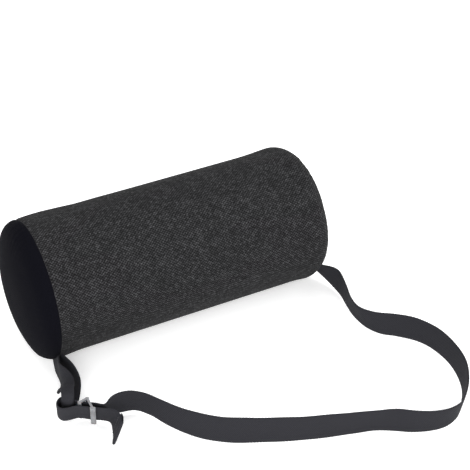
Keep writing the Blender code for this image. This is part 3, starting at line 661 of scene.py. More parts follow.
def swell_at(s, angles):
    """The simulated swell, read between its points."""
    row = np.interp(s, SIM_S, np.arange(len(SIM_S)))
    low = np.minimum(row.astype(int), len(SIM_S) - 2)
    part = (row - low)[:, None]
    part = part * part * (3 - 2 * part)
    column = (angles % (2 * math.pi)) / (2 * math.pi) * SIM_ROUND
    left = column.astype(int) % SIM_ROUND
    side = (column - column.astype(int))[None, :]
    side = side * side * (3 - 2 * side)
    right = (left + 1) % SIM_ROUND

    def across(rows):
        return SWELL[rows][:, left] * (1 - side) + SWELL[rows][:, right] * side

    return across(low) * (1 - part) + across(low + 1) * part


def seam_relief(s, angles, seam, reach):
    """The groove at a seam and the puckers that fade away from it."""
    far = np.abs(s - seam)[:, None]
    groove = -GROOVE_DEPTH * np.exp(-(far / GROOVE_WIDTH) ** 1.5)
    ripple = sum(np.sin(n * angles + phase + 0.6 * np.sin(3 * angles + phase)) for n, phase in PUCKERS)
    uneven = 0.6 + 0.4 * np.sin(5 * angles + seam)
    shape = (far / 2.0) * np.exp(-far / reach)
    return groove + PUCKER_HIGH * (ripple * uneven)[None, :] * shape


def lift_at(s, angles):
    settled = np.minimum(swell_at(s, angles) - START_INSET * 0.75, MOST_LIFT)
    relief = seam_relief(s, angles, S_LEFT, 6.0) + seam_relief(s, angles, S_RIGHT, 5.0)
    ends = np.minimum(s, S_END - s)[:, None] / CAP_FADE
    return settled + relief * np.clip(ends, 0.0, 1.0)


def cloth_uv(s, angles, flat_end):
    """Where each grid point lies on the cut fabric, in millimetres."""
    if flat_end:
        reach = np.abs(s - (0.0 if s[0] < S_LEFT - 1 else S_END))[:, None]
        return np.stack([reach * np.cos(angles)[None, :], reach * np.sin(angles)[None, :]], axis=-1)
    turn = angles * ROLL_RADIUS
    return np.stack(np.broadcast_arrays(s[:, None], turn[None, :]), axis=-1)


def panel_faces(s, flat, closed, slot):
    """Quads between the rows of a panel, and their UVs; a slot leaves the zip's opening."""
    x = on_outline(s)[0]
    faces, uv = [], []
    for k in range(len(s) - 1):
        for i in range(ROUND):
            if slot and i < SLOT_STEPS and max(abs(x[k]), abs(x[k + 1])) < SLOT_END + 0.01:
                continue
            j = (i + 1) % ROUND
            wrap = 2 * math.pi * ROLL_RADIUS if j == 0 and not closed else 0.0
            faces.append((k * ROUND + i, (k + 1) * ROUND + i, (k + 1) * ROUND + j, k * ROUND + j))
            for row, column, add in ((k, i, 0), (k + 1, i, 0), (k + 1, j, wrap), (k, j, wrap)):
                uv.append((flat[row, column, 0], flat[row, column, 1] + add))
    return faces, uv


def crown_faces(row, middle, flat, turn):
    """Triangles from a ring to the point in the middle of an end; turn is 1 or -1."""
    faces, uv = [], []
    for i in range(ROUND):
        order = (i, (i + 1) % ROUND)[::turn]
        faces.append((middle, *(row * ROUND + c for c in order)))
        uv += [(0.0, 0.0)] + [tuple(flat[row, c]) for c in order]
    return faces, uv


def cover_panel(name, s, material, crown=None, slot=False):
    """One panel of the cover as a thin closed shell."""
    points = skin(s, FINE_ANGLES, lift_at(s, FINE_ANGLES))
    flat = cloth_uv(s, FINE_ANGLES, crown is not None)
    corners = list(points.reshape(-1, 3))
    faces, uv = panel_faces(s, flat, crown is not None, slot)
    if crown is not None:
        row, turn = (0, 1) if crown == "left" else (len(s) - 1, -1)
        more, more_uv = crown_faces(row, len(corners), flat, turn)
        corners.append(points[row].mean(axis=0))
        faces, uv = faces + more, uv + more_uv
    panel = mesh_piece(name, corners, faces, uv)
    shell = panel.modifiers.new("fabric", "SOLIDIFY")
    shell.thickness = WALL * MM
    shell.offset = -1.0
    evaluated(panel)
    drop_loose(panel)
    coat(panel, material)
    return panel


SEAM_GAP = 0.12
CROWN_STEP = 1.2                                # the first ring round the middle of each end
SEAMS = (S_LEFT, S_RIGHT)
left_rows = rows_between(CROWN_STEP, S_LEFT - SEAM_GAP, SEAMS)
body_rows = rows_between(S_LEFT + SEAM_GAP, S_RIGHT - SEAM_GAP, SEAMS)
right_rows = rows_between(S_RIGHT + SEAM_GAP, S_END - CROWN_STEP, SEAMS)
slot_rows = [S_LEFT + (sign * SLOT_END - LEFT_SEAM_X) for sign in (-1, 1)]
for place in slot_rows:
    body_rows[np.argmin(np.abs(body_rows - place))] = place

body_panel = cover_panel("cover_body_panel", body_rows, AIR_MESH, slot=True)
left_end = cover_panel("cover_left_end", left_rows, KNIT, crown="left")
right_end = cover_panel("cover_right_end", right_rows, KNIT, crown="right")
for piece, node, slot_name in ((body_panel, "cover_body", "body_fabric"),
                               (left_end, "cover_cap_left", "end_fabric"),
                               (right_end, "cover_cap_right", "end_fabric")):
    assign(piece, "roll", node)


# %% [markdown]
# ## Thread
#
# A stitch is a short arch of thread with both ends sunk in the cloth.  One function draws any number
# of them between pairs of points, and it makes the seams' topstitching, the dense bars that hold the
# webbing, and the hem.

# %% stitches
THREAD_SIDES, THREAD_STEPS = 6, 5
THREAD_TIP = 0.55                               # how thin a stitch is where it enters the cloth
SUNK = 0.05                                     # how far a stitch's ends are sunk


def stitches(name, pairs, thick, arch, material, body, node=None):
    """Arched stitches; each pair holds a start, an end and the way up, in millimetres."""
    corners, faces = [], []
    for start, end, up in pairs:
        run = end - start
        side = run.cross(up).normalized()
        faces += tube_faces(THREAD_STEPS + 1, THREAD_SIDES, len(corners))
        for k in range(THREAD_STEPS + 1):
            t = k / THREAD_STEPS
            high = math.sin(math.pi * t)
            radius = thick / 2 * (THREAD_TIP + (1 - THREAD_TIP) * high)
            corners += ring_points(start + run * t + up * (arch * high), side, up, radius, THREAD_SIDES)
    piece = mesh_piece(name, corners, faces)
    drop_loose(piece)
    coat(piece, material)
    assign(piece, body, node)
    return piece


def seam_topstitch(name, s, radius):
    """A ring of stitches lying in the groove of a seam."""
    count = round(2 * math.pi * radius / STITCH_PITCH)
    angles = 2 * math.pi * (np.arange(2 * count) // 2 + np.tile([0.0, STITCH_SHARE], count)) / count
    row = np.array([s])
    points = skin(row, angles, lift_at(row, angles) + STITCH_LIFT)[0]
    _, _, nx, nr = on_outline(row)
    pairs = []
    for k in range(0, 2 * count, 2):
        a = angles[k]
        up = Vector((nx[0], nr[0] * math.cos(a), nr[0] * math.sin(a)))
        pairs.append((Vector(points[k]), Vector(points[k + 1]), up))
    stitches(name, pairs, 0.42, STITCH_LIFT, SEAM_HIGHLIGHT_THREAD, "roll")


STITCH_PITCH = 2.6
STITCH_SHARE = 0.82                             # of each stitch's pitch that is thread
STITCH_LIFT = 0.12
# Both rings use the pale thread, whose colour is a painted highlight along the edge of each seam.
seam_topstitch("seam_thread_left", S_LEFT - 0.2, ROLL_RADIUS)
seam_topstitch("seam_thread_right", S_RIGHT, RIGHT_SEAM_RADIUS)


# %% [markdown]
# ## Webbing
#
# The strap and the short loop are 25 mm webbing.  A hanging or laid strap isn't well served by a
# simulation here, because its path through the buckle is exact, so each is swept along its own route
# of stations: a middle point, the direction across the webbing, and its width where it is gathered.
# The stations stay as they were chosen for the solids, in millimetres.

# %% route helpers
WEB_WIDTH = 25.0
WEB_THICK = 1.4
FLOOR_GAP = 0.3
ROUTE_STEP = 1.25


def smooth_route(stations, step=ROUTE_STEP):
    """Points read from a centripetal curve through the stations."""
    rows = [np.array([*centre, *across, width]) for centre, across, width in stations]
    rows = [2 * rows[0] - rows[1]] + rows + [2 * rows[-1] - rows[-2]]
    out = []
    for k in range(1, len(rows) - 2):
        p = rows[k - 1:k + 3]
        gaps = [max(float(np.linalg.norm(b[:3] - a[:3])), 1e-6) for a, b in zip(p, p[1:])]
        t = np.concatenate([[0.0], np.cumsum(np.sqrt(gaps))])
        count = max(1, round(gaps[1] / step))
        for i in range(count):
            at = t[1] + (t[2] - t[1]) * i / count
            level = p
            for width in (1, 2, 3):
                pairs = [(j, j + width) for j in range(len(level) - 1)] if width < 3 else [(1, 2)]
                level = [a + (b - a) * (at - t[low]) / (t[high] - t[low])
                         for (a, b), (low, high) in zip(zip(level, level[1:]), pairs)]
            out.append(level[0])
    out.append(rows[-2])
    return [(Vector(r[0:3]), Vector(r[3:6]).normalized(), float(r[6])) for r in out]


def on_edge(x, y, tip_x=0.0, tip_y=0.0, lift=0.0):
    """Webbing that stands on its lower edge, with its top edge tipped sideways."""
    rise = math.sqrt(WEB_WIDTH ** 2 - tip_x ** 2 - tip_y ** 2)
    across = Vector((tip_x, tip_y, rise)) / WEB_WIDTH
    return (Vector((x, y, FLOOR_GAP + lift + rise / 2)), across, WEB_WIDTH)


def in_air(x, y, z, across, width=WEB_WIDTH):
    return (Vector((x, y, z)), Vector(across).normalized(), width)


def on_seam(x, r, angle):
    """Webbing sewn along a seam, r from the roll's axis and angle below the front."""
    a = math.radians(angle)
    centre = Vector((x, -r * math.cos(a), AXIS_Z - r * math.sin(a)))
    return (centre, Vector((0.0, -math.sin(a), math.cos(a))), WEB_WIDTH)


def between(start, end, share, out):
    centre = start[0].lerp(end[0], share) + Vector((out, 0.0, 0.0))
    return (centre, start[1].lerp(end[1], share).normalized(), WEB_WIDTH)


print("routes are read every", ROUTE_STEP, "mm")


# %% the buckle's own frame
BAR_PITCH = 5.5
BAR_WIDE = 3.0
BAR_THICK = 1.8
RAIL_THICK = 2.4
LINK_WIDE = 1.7
LINK_INSET = 0.1
BAR_END_CLEAR = 0.5
BUCKLE_TRAVEL = 6.0
SOLID_WEB_THICK = 1.5                           # the solids' webbing, a little thicker than the cloth
LAYER_GAP = SOLID_WEB_THICK + BAR_THICK + 2 * CLEAR
BAR_OFFSET = (SOLID_WEB_THICK + BAR_THICK) / 2 + CLEAR
HEADING = math.radians(30.0)                    # the webbing's run through the buckle, turned from -X
LEAN = math.radians(22.0)                       # the buckle's top edge, tipped to the front
ROLL = math.radians(5.0)                        # its left end, raised
LEVEL = Vector((-math.cos(HEADING), math.sin(HEADING), 0.0))
FRONT_FLAT = Vector((-math.sin(HEADING), -math.cos(HEADING), 0.0))
ALONG = LEVEL * math.cos(ROLL) + Vector((0, 0, math.sin(ROLL)))
UPRIGHT = Vector((0, 0, math.cos(ROLL))) - LEVEL * math.sin(ROLL)
ACROSS = FRONT_FLAT * math.sin(LEAN) + UPRIGHT * math.cos(LEAN)
FRONT = ACROSS.cross(ALONG)
RAIL_REACH = WEB_WIDTH / 2 + BAR_END_CLEAR + RAIL_THICK
BUCKLE_DEPTH = LAYER_GAP + BAR_OFFSET + BAR_THICK / 2
RAIL_HALF = BAR_PITCH + BAR_WIDE / 2
LOWEST_CORNER = -(ALONG.z * (RAIL_HALF + BUCKLE_TRAVEL) - FRONT.z * BUCKLE_DEPTH + ACROSS.z * RAIL_REACH)
BUCKLE_AT = Vector((LEFT_SEAM_X - 1.3, -ROLL_RADIUS - 52.0, FLOOR_GAP - LOWEST_CORNER))
STRAIGHT_END = BAR_PITCH + BAR_WIDE / 2
STRAIGHT_START = -(STRAIGHT_END + BUCKLE_TRAVEL + 1.0)


def in_buckle(s, n):
    """A station in the buckle's frame: s along the webbing to the left, n to the front."""
    return (BUCKLE_AT + ALONG * s + FRONT * n, ACROSS, WEB_WIDTH)


print("buckle at", tuple(round(c, 1) for c in BUCKLE_AT))


# %% the strap's route
FLEX_Y = -ROLL_RADIUS                           # where the webbing bends up, just in front of the roll
SEWN_IN = 2.6                                   # length of webbing held inside a seam

RIGHT_ROOT = on_seam(RIGHT_SEAM_X + 0.7, RIGHT_SEAM_RADIUS + 1.8, 54.6)
RIGHT_INSIDE = on_seam(RIGHT_SEAM_X - 0.7, RIGHT_SEAM_RADIUS - SEWN_IN + 1.8, 54.6)
STRAP_BEND = on_edge(143.6, FLEX_Y)
FLOOR_RUN = (                                   # x, y, how the top edge is tipped, and the lift
    (140.5, -76.0, -1.5, 0.0), (137.0, -93.0, -4.5, 0.5), (138.0, -108.5, -6.5, 3.0),
    (145.5, -121.0, -5.5, 5.0), (157.5, -131.0, -2.5, 3.0), (169.5, -143.0, 0.0, 1.5),
    (177.2, -158.0, 1.0, 0.5), (180.2, -174.0, 1.5, 0.0), (179.6, -191.0, 2.0, -1.0),
    (175.6, -207.0, 2.5, -2.0), (168.2, -221.0, 2.0, -3.0), (157.8, -233.5, 1.5, -4.0),
    (146.8, -242.5, 1.0, -4.5), (135.0, -245.5, 0.0, -4.0), (122.0, -243.5, 0.0, -2.5),
    (108.5, -237.5, 0.0, -1.0), (95.5, -229.0, 0.0, 0.0), (81.0, -222.5, 0.0, -2.5),
    (65.0, -217.5, 0.0, -1.0), (47.0, -211.8, 0.0, 0.5), (27.0, -205.0, 0.0, 1.5),
    (7.0, -196.5, 0.0, 2.5), (-12.0, -187.5, 0.0, 3.5), (-29.5, -178.0, 0.0, 4.5),
    (-44.0, -166.0, -0.5, 5.5), (-55.5, -152.5, -1.0, 6.0), (-65.0, -138.0, -2.0, 5.0, 0.4),
    (-73.0, -125.0, -3.0, 2.0, 1.2), (-82.5, -117.0, -4.0, -1.0, 2.4), (-92.5, -115.2, -3.5, -2.0, 3.0),
    (-100.0, -116.6, -3.5, -4.5, 4.2),
)
TURN_BACK = (                                   # past the buckle's last bar, round the tab and back
    (0.0, 0.0), (4.0, -0.9), (8.0, -2.0), (11.5, -2.4), (14.3, -1.5), (16.1, 0.9),
    (16.4, LAYER_GAP - 0.3), (15.0, LAYER_GAP + 2.2), (11.8, LAYER_GAP + 3.6),
    (8.0, LAYER_GAP + 3.0), (4.0, LAYER_GAP + 1.4), (0.0, LAYER_GAP),
)
STRAP_ROUTE = [
    RIGHT_INSIDE,
    RIGHT_ROOT,
    between(RIGHT_ROOT, STRAP_BEND, 0.28, 1.2),
    between(RIGHT_ROOT, STRAP_BEND, 0.62, 1.8),
    STRAP_BEND,
    *(on_edge(*place) for place in FLOOR_RUN),
    *(in_buckle(STRAIGHT_START * share, 0.0) for share in (1.0, 0.5, 0.0)),
    *(in_buckle(STRAIGHT_END + s, n) for s, n in TURN_BACK),
    *(in_buckle(STRAIGHT_START * share, LAYER_GAP) for share in (0.0, 0.5, 1.0)),
    in_air(-104.4, -125.4, 14.8, (-0.02, -0.36, 0.92)),
    in_air(-102.7, -131.0, 13.6, (0.16, -0.25, 0.95)),
    in_air(-103.6, -136.9, 12.8, (0.28, -0.12, 0.95)),
    in_air(-106.2, -142.6, 12.6, (0.34, -0.06, 0.94)),
]
print("strap stations:", len(STRAP_ROUTE))


# %% [markdown]
# A strap isn't a flat strip with square edges.  Its selvedges are rounded and a little wavy where the
# weft turns back, and the cloth is never quite flat across.  So the section below is a loop of points
# with thin rounded ends, and each station moves its edges and its middle by a small, smooth amount.

# %% sweep webbing along a route
SECTION_POINTS = 15
SELVEDGE_PITCH = 2.4
MOST_WAVE = 0.22                                # the selvedges' waves stay inside the full width
EDGE_THIN = 0.22                                # how thin the selvedges are, against the middle


def frames_along(route):
    """Each station's middle, unit direction across, face direction, width and distance along."""
    out = []
    run = 0.0
    for k, (centre, across, width) in enumerate(route):
        before = route[max(k - 1, 0)][0]
        after = route[min(k + 1, len(route) - 1)][0]
        face = (after - before).cross(across).normalized()
        if k:
            run += (centre - route[k - 1][0]).length
        out.append((centre, across, face, width, run))
    return out


def strip_section(centre, across, face, width, run, cup, starts):
    """The loop of points round the webbing at one station, and where each lies on the flat webbing."""
    bow = cup * (1.0 - width / WEB_WIDTH) * 2.0 + 0.12 * math.sin(run / 17.0 + starts[0])
    wave = 0.10 * math.sin(2 * math.pi * run / SELVEDGE_PITCH) + 0.12 * math.sin(run / 5.3 + starts[1])
    half = width / 2 + wave - MOST_WAVE
    corners, flat = [], []
    for side in (1, -1):
        for share in np.linspace(-1.0, 1.0, SECTION_POINTS)[::side]:
            body = math.sqrt(max(1.0 - abs(share) ** 9, 0.0))
            thick = WEB_THICK / 2 * (EDGE_THIN + (1 - EDGE_THIN) * body)
            offset = bow * (0.6 - share * share) + side * thick
            corners.append(centre + across * (half * share) + face * offset)
            flat.append((run, share * WEB_WIDTH / 2 + (0 if side > 0 else 0.6)))
    return corners, flat


def webbing_strip(name, route, seed, cup=0.0):
    """A woven strap along a route; cup bows it across its width where it is gathered."""
    rng = random.Random(seed)
    starts = [rng.uniform(0, 6.28) for _ in range(4)]
    corners, flat = [], []
    for row in frames_along(route):
        points, places = strip_section(*row, cup, starts)
        corners += points
        flat += places
    ring = 2 * SECTION_POINTS
    faces = tube_faces(len(corners) // ring, ring)
    piece = mesh_piece(name, corners, faces, [flat[c] for face in faces for c in face])
    drop_loose(piece)
    coat(piece, WEBBING)
    length = frames_along(route)[-1][4]
    print(f"{name}: {length:.0f} mm of webbing")
    return piece, length


# %% strap with its folded hem
HEM_LENGTH = 11.0
HEM_GAP = 1.62                                  # middle to middle of the two layers of the hem


def hemmed(route):
    """The route, turned back on itself at its end to make a hem."""
    rows = frames_along(route)
    total = rows[-1][4]
    out = []
    for centre, across, face, width, run in rows:
        share = min(max((run - (total - HEM_LENGTH - 5.0)) / 5.0, 0.0), 1.0)
        share = share * share * (3 - 2 * share)
        out.append((centre + face * (share * HEM_GAP / 2), across, width))
    centre, across, face, width, _ = rows[-1]
    heading = (rows[-1][0] - rows[-2][0]).normalized()
    for a in (30, 60, 90, 120, 150):
        a = math.radians(a)
        turn = face * (math.cos(a) * HEM_GAP / 2) + heading * (math.sin(a) * HEM_GAP / 2)
        out.append((centre + turn, across, width))
    for centre, across, face, width, run in reversed(rows):
        if total - run > HEM_LENGTH:
            break
        out.append((centre - face * (HEM_GAP / 2), across, width - 0.4))
    return out


strap_middle = smooth_route(STRAP_ROUTE)
strap, strap_length = webbing_strip("strap_webbing", hemmed(strap_middle), 3)
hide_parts("strap", "strap_root")
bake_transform(strap)


# %% [markdown]
# ## The loop that holds the buckle
#
# A short doubled length of the same webbing is sewn into the left seam.  Its front leg crosses over the
# strap's inner layer, passes down inside the strap's loop and comes back underneath.  Where it is
# squeezed into the loop it gathers to about half its width, and bows into a shallow trough.

# %% tab
TAB_AT = STRAIGHT_END + 8.4
TAB_GATHERED = 10.5
TAB_INSIDE = SOLID_WEB_THICK + CLEAR + 0.1
HALF_WEB = WEB_WIDTH / 2
LEG_A = -122.6
LEG_B = -113.4
TAB_SEAM_RADIUS = ROLL_RADIUS + 1.2
TAB_SEAM_ANGLE = 47.8
TAB_CUP = 1.5
EASE_PASSES = 6
UNSHEAR = 0.3                                   # how much each pass squares the webbing to its run


def eased(route, passes):
    """The route with its tightest bends and twists evened out, so that no edge of it pinches."""
    rows = list(route)
    for _ in range(passes):
        middle = rows[:]
        for k in range(1, len(rows) - 1):
            (c0, a0, w0), (c1, a1, w1), (c2, a2, w2) = rows[k - 1:k + 2]
            across = (a0 + a1 * 2 + a2).normalized()
            heading = (c2 - c0).normalized()
            across = (across - heading * (UNSHEAR * across.dot(heading))).normalized()
            middle[k] = ((c0 + c1 * 2 + c2) / 4, across, (w0 + 2 * w1 + w2) / 4)
        rows = middle
    return rows


def at_tab(n, w, width=TAB_GATHERED):
    centre = BUCKLE_AT + ALONG * TAB_AT + FRONT * n + ACROSS * w
    return (centre, -ALONG, width)


TAB_LEFT = on_seam(LEFT_SEAM_X - 0.9, TAB_SEAM_RADIUS + 0.4, TAB_SEAM_ANGLE)
TAB_RIGHT = on_seam(LEFT_SEAM_X + 1.5, TAB_SEAM_RADIUS + 0.5, TAB_SEAM_ANGLE)
END_A = on_edge(LEG_A, FLEX_Y)
END_B = on_edge(LEG_B, FLEX_Y)
TAB_ROUTE = [
    on_seam(LEFT_SEAM_X - 0.8, TAB_SEAM_RADIUS - SEWN_IN, TAB_SEAM_ANGLE),
    TAB_LEFT,
    between(TAB_LEFT, END_A, 0.16, -0.1),
    between(TAB_LEFT, END_A, 0.56, 0.0),
    END_A,
    in_air(-124.6, -72.0, 15.6, (0.34, -0.27, 0.90), 23.0),
    in_air(-126.8, -84.0, 22.0, (0.68, -0.46, 0.56), 16.0),
    in_air(-129.6, -96.0, 30.6, (0.84, -0.50, 0.18), 12.0),
    at_tab(-2.6, HALF_WEB + 2.7),
    at_tab(0.6, HALF_WEB + 2.1),
    at_tab(TAB_INSIDE, HALF_WEB - 0.3),
    at_tab(TAB_INSIDE, 4.0),
    at_tab(TAB_INSIDE, -4.0),
    at_tab(TAB_INSIDE, -HALF_WEB + 0.1),
    at_tab(0.9, -HALF_WEB - 2.3),
    at_tab(-1.6, -HALF_WEB - 3.1),
    at_tab(-5.2, -HALF_WEB - 2.9),
    in_air(-121.8, -85.6, 6.9, (0.70, -0.46, 0.54), 15.0),
    in_air(-114.9, -76.4, 10.4, (0.36, -0.28, 0.89), 20.0),
    in_air(-112.9, -68.6, 12.6, (0.08, -0.06, 0.99), 24.0),
    END_B,
    between(TAB_RIGHT, END_B, 0.56, 0.2),
    between(TAB_RIGHT, END_B, 0.2, 0.2),
    TAB_RIGHT,
    on_seam(LEFT_SEAM_X + 0.9, TAB_SEAM_RADIUS - SEWN_IN, TAB_SEAM_ANGLE),
]
tab_middle = eased(smooth_route(TAB_ROUTE), EASE_PASSES)
tab, tab_length = webbing_strip("tab_webbing", tab_middle, 5, TAB_CUP)
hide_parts("tab_loop", "tab_root")
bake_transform(tab)


# %% bartacks and hem stitches
TACK_LONG = 3.0
TACK_STEP = 0.62
TACK_MARGIN = 1.8
HEM_STEP = 2.5
HEM_EDGE = 2.5                                  # from the hem's folded-in end to its stitches


def bartack(name, route, target, node):
    """A dense bar of satin stitches across the webbing, near a station and on its outer face."""
    rows = frames_along(route)
    centre, across, face, width, _ = min(rows, key=lambda row: (row[0] - target[0]).length)
    up = -face
    half = width / 2 - TACK_MARGIN
    reach = across.cross(face).normalized() * (TACK_LONG / 2) + across * (TACK_STEP / 2)
    pairs = []
    for k in range(int(2 * half / TACK_STEP) + 1):
        middle = centre + across * (-half + k * TACK_STEP) + up * (WEB_THICK / 2 - SUNK)
        pairs.append((middle - reach, middle + reach, up))
    stitches(name, pairs, 0.55, 0.18, DARK_THREAD, "roll", node)


def hem_row():
    """Two rows of lockstitch across the hem, one on each face."""
    rows = frames_along(strap_middle)
    total = rows[-1][4]
    centre, across, face, width, _ = min(rows, key=lambda row: abs(total - row[4] - HEM_LENGTH + HEM_EDGE))
    pairs = []
    half = width / 2 - TACK_MARGIN
    for up in (face, -face):
        for k in range(int(2 * half / HEM_STEP)):
            start = centre + across * (-half + k * HEM_STEP) + up * (HEM_GAP / 2 + WEB_THICK / 2 - SUNK)
            pairs.append((start, start + across * (0.84 * HEM_STEP), up))
    return stitches("hem_stitches", pairs, 0.5, 0.2, DARK_THREAD, "strap_loop", "tail_hem_thread")


hem_thread = hem_row()
bartack("strap_root_stitches", strap_middle, between(RIGHT_ROOT, STRAP_BEND, 0.4, 1.4), "strap_root_bartack")
bartack("tab_root_stitches", tab_middle, between(TAB_LEFT, END_A, 0.16, -0.1), "tab_root_bartack")


# %% [markdown]
# ## The buckle
#
# It is a three-bar slider moulded in one piece: three bars at different depths, and at each side two slim
# links that join their ends.  Moulded parts have no sharp edges, so the union of links and bars gets a
# small round all over, and the front bar has shallow flutes for grip.

# %% buckle
FRONT_BAR_WIDE = 4.4
FLUTE_PITCH = 1.1
FLUTE_DEEP = 0.10
BARS = ((-BAR_PITCH, LAYER_GAP + BAR_OFFSET, FRONT_BAR_WIDE), (0.0, -BAR_OFFSET, BAR_WIDE),
        (BAR_PITCH, BAR_OFFSET, BAR_WIDE))


def buckle_point(s, n, w):
    return BUCKLE_AT + ALONG * s + FRONT * n + ACROSS * w


def prism(name, outline, low, high, place):
    """A closed prism: a flat outline in (a, b), run from low to high, put in place by a function."""
    count = len(outline)
    corners = [place(a, b, low) for a, b in outline] + [place(a, b, high) for a, b in outline]
    faces = [tuple(range(count)), tuple(reversed(range(count, 2 * count)))]
    for i in range(count):
        j = (i + 1) % count
        faces.append((j, i, count + i, count + j))
    piece = mesh_piece(name, corners, faces, smooth=False)
    drop_loose(piece)
    return piece


def rounded_outline(half_a, half_b, power, count=28, at=(0.0, 0.0)):
    """A rounded rectangle round a place; a higher power makes it squarer."""
    out = []
    for k in range(count):
        a = 2 * math.pi * (k + 0.5) / count
        c, s = math.cos(a), math.sin(a)
        out.append((at[0] + math.copysign(half_a * abs(c) ** (2 / power), c),
                    at[1] + math.copysign(half_b * abs(s) ** (2 / power), s)))
    return out


def combined(base, tools, operation="UNION"):
    """Unite or subtract solids, apply it, and remove the tools."""
    for tool in tools:
        step = base.modifiers.new(tool.name, "BOOLEAN")
        step.operation = operation
        step.solver = "EXACT"
        step.object = tool
    evaluated(base)
    for tool in tools:
        bpy.data.objects.remove(tool)
    return base


def softened(piece, width, material, segments=2):
    """Round a piece's edges, shade it smooth and give it its material."""
    mod = piece.modifiers.new("moulded_edges", "BEVEL")
    mod.width = width * MM
    mod.segments = segments
    mod.limit_method = "ANGLE"
    mod.angle_limit = math.radians(35)
    evaluated(piece)
    coat(piece, material)
    piece.data.shade_smooth()
    piece.data.set_sharp_from_angle(angle=math.radians(50))
    return piece


def bar_outline(s, n, wide, fluted):
    out = []
    for a, b in rounded_outline(wide / 2, BAR_THICK / 2, 3.2, 44):
        flute = FLUTE_DEEP * math.cos(2 * math.pi * a / FLUTE_PITCH) if fluted and b > 0 else 0.0
        out.append((s + a, n + b + flute))
    return out


def link_outline(start, end):
    """The flat outline of a slim link between two bars, with its ends rounded inside them."""
    (s0, n0), (s1, n1) = start, end
    run = Vector((s1 - s0, n1 - n0))
    middle = Vector((s0 + s1, n0 + n1)) / 2
    along = run.normalized()
    aside = Vector((-along.y, along.x))
    return [tuple(middle + along * a + aside * b)
            for a, b in rounded_outline(run.length / 2 + LINK_WIDE / 3, LINK_WIDE / 2, 4.0, 32)]


def make_buckle():
    parts = [prism(f"bar_{k}", bar_outline(s, n, wide, k == 0), -RAIL_REACH, RAIL_REACH, buckle_point)
             for k, (s, n, wide) in enumerate(BARS)]
    for sign in (-1, 1):
        for k, (start, end) in enumerate(zip(BARS, BARS[1:])):
            inset = (k + 1) * LINK_INSET
            ends = sorted((sign * (RAIL_REACH - RAIL_THICK + inset), sign * (RAIL_REACH - inset)))
            parts.append(prism(f"link_{sign}_{k}", link_outline(start[:2], end[:2]), *ends, buckle_point))
    buckle = combined(parts[0], parts[1:])
    buckle.name = "buckle_moulding"
    softened(buckle, 0.35, ACETAL, 3)
    assign(buckle, "buckle", "buckle")


make_buckle()


# %% [markdown]
# ## The zip
#
# The zip lies along the back in a slot of the cover.  Its teeth are two coils of nylon wire, wound with
# their turns half a pitch apart so that they mesh, on two woven tapes.  A helix is a formula, so each
# coil is a thin tube swept along it.

# %% zip coils
COIL_PITCH = 1.3
COIL_WIRE = 0.5
COIL_REACH = 0.62                               # how far each coil leans in towards the other
TURN_POINTS = 12
WIRE_SIDES = 6
coil_low, coil_high = box_mm("zip_coil_upper")


def zip_coil(name, node, sign):
    half_x = coil_high.x
    wide = (coil_high.z - coil_low.z + COIL_REACH) / 2
    middle = (coil_low.z - AXIS_Z - COIL_REACH) + wide
    centre_y = (coil_low.y + coil_high.y) / 2
    rise = (coil_high.y - coil_low.y) / 2 - COIL_WIRE / 2
    turns = (2 * half_x - COIL_WIRE) / COIL_PITCH
    count = round(turns * TURN_POINTS)
    path = []
    for k in range(count + 1):
        t = turns * k / count
        angle = 2 * math.pi * t + (math.pi if sign < 0 else 0.0)
        path.append(Vector((-half_x + COIL_WIRE / 2 + COIL_PITCH * t,
                            centre_y + rise * math.sin(angle),
                            AXIS_Z + sign * (middle + (wide - COIL_WIRE / 2) * math.cos(angle)))))
    corners = []
    for k, point in enumerate(path):
        heading = (path[min(k + 1, count)] - path[max(k - 1, 0)]).normalized()
        side = heading.cross(Vector((1, 0, 0))).normalized()
        corners += ring_points(point, side, side.cross(heading), COIL_WIRE / 2, WIRE_SIDES)
    coil = mesh_piece(name, corners, tube_faces(count + 1, WIRE_SIDES))
    drop_loose(coil)
    coat(coil, NYLON)
    assign(coil, "roll", node)


zip_coil("zip_coil_turns_upper", "zip_coil_upper", 1)
zip_coil("zip_coil_turns_lower", "zip_coil_lower", -1)


# %% slider, pull and stops
slider_low, slider_high = box_mm("zip_slider")
pull_low, pull_high = box_mm("zip_pull")
SLIDER_X = (slider_low.x + slider_high.x) / 2
SLIDER_HALF = (slider_high.x - slider_low.x) / 2
SLIDER_SIDE = (slider_high.z - slider_low.z) / 2
PLATE = 1.2
PIN_Y = (pull_low.y + pull_high.y) / 2
PLATE_TOP = PIN_Y - 1.2
PULL_SIDE = (pull_high.z - pull_low.z) / 2
PULL_THICK = 1.2
PULL_TIP = pull_high.x
BRIDGE_REACH = 3.9
BRIDGE_WALL = 1.0
BRIDGE_RISE = 1.3
BRIDGE_HALF = 0.8
CUT_PAST = 1.0                                  # how far a cutter passes the faces that it cuts


def at_back(x, z, y):
    """From a flat outline in (x, z) on the roll's back, at height y."""
    return Vector((x, y, AXIS_Z + z))


def at_side(x, y, z):
    return Vector((x, y, AXIS_Z + z))


def slider_plate(name, low, high, scale):
    outline = []
    for a, b in rounded_outline(SLIDER_HALF * scale, SLIDER_SIDE * scale, 4.0, 40):
        taper = 1.0 - 0.14 * (a / SLIDER_HALF)      # the closed end of the slider is narrower
        outline.append((SLIDER_X + a, b * min(taper, 1.0)))
    return prism(name, outline, low, high, at_back)


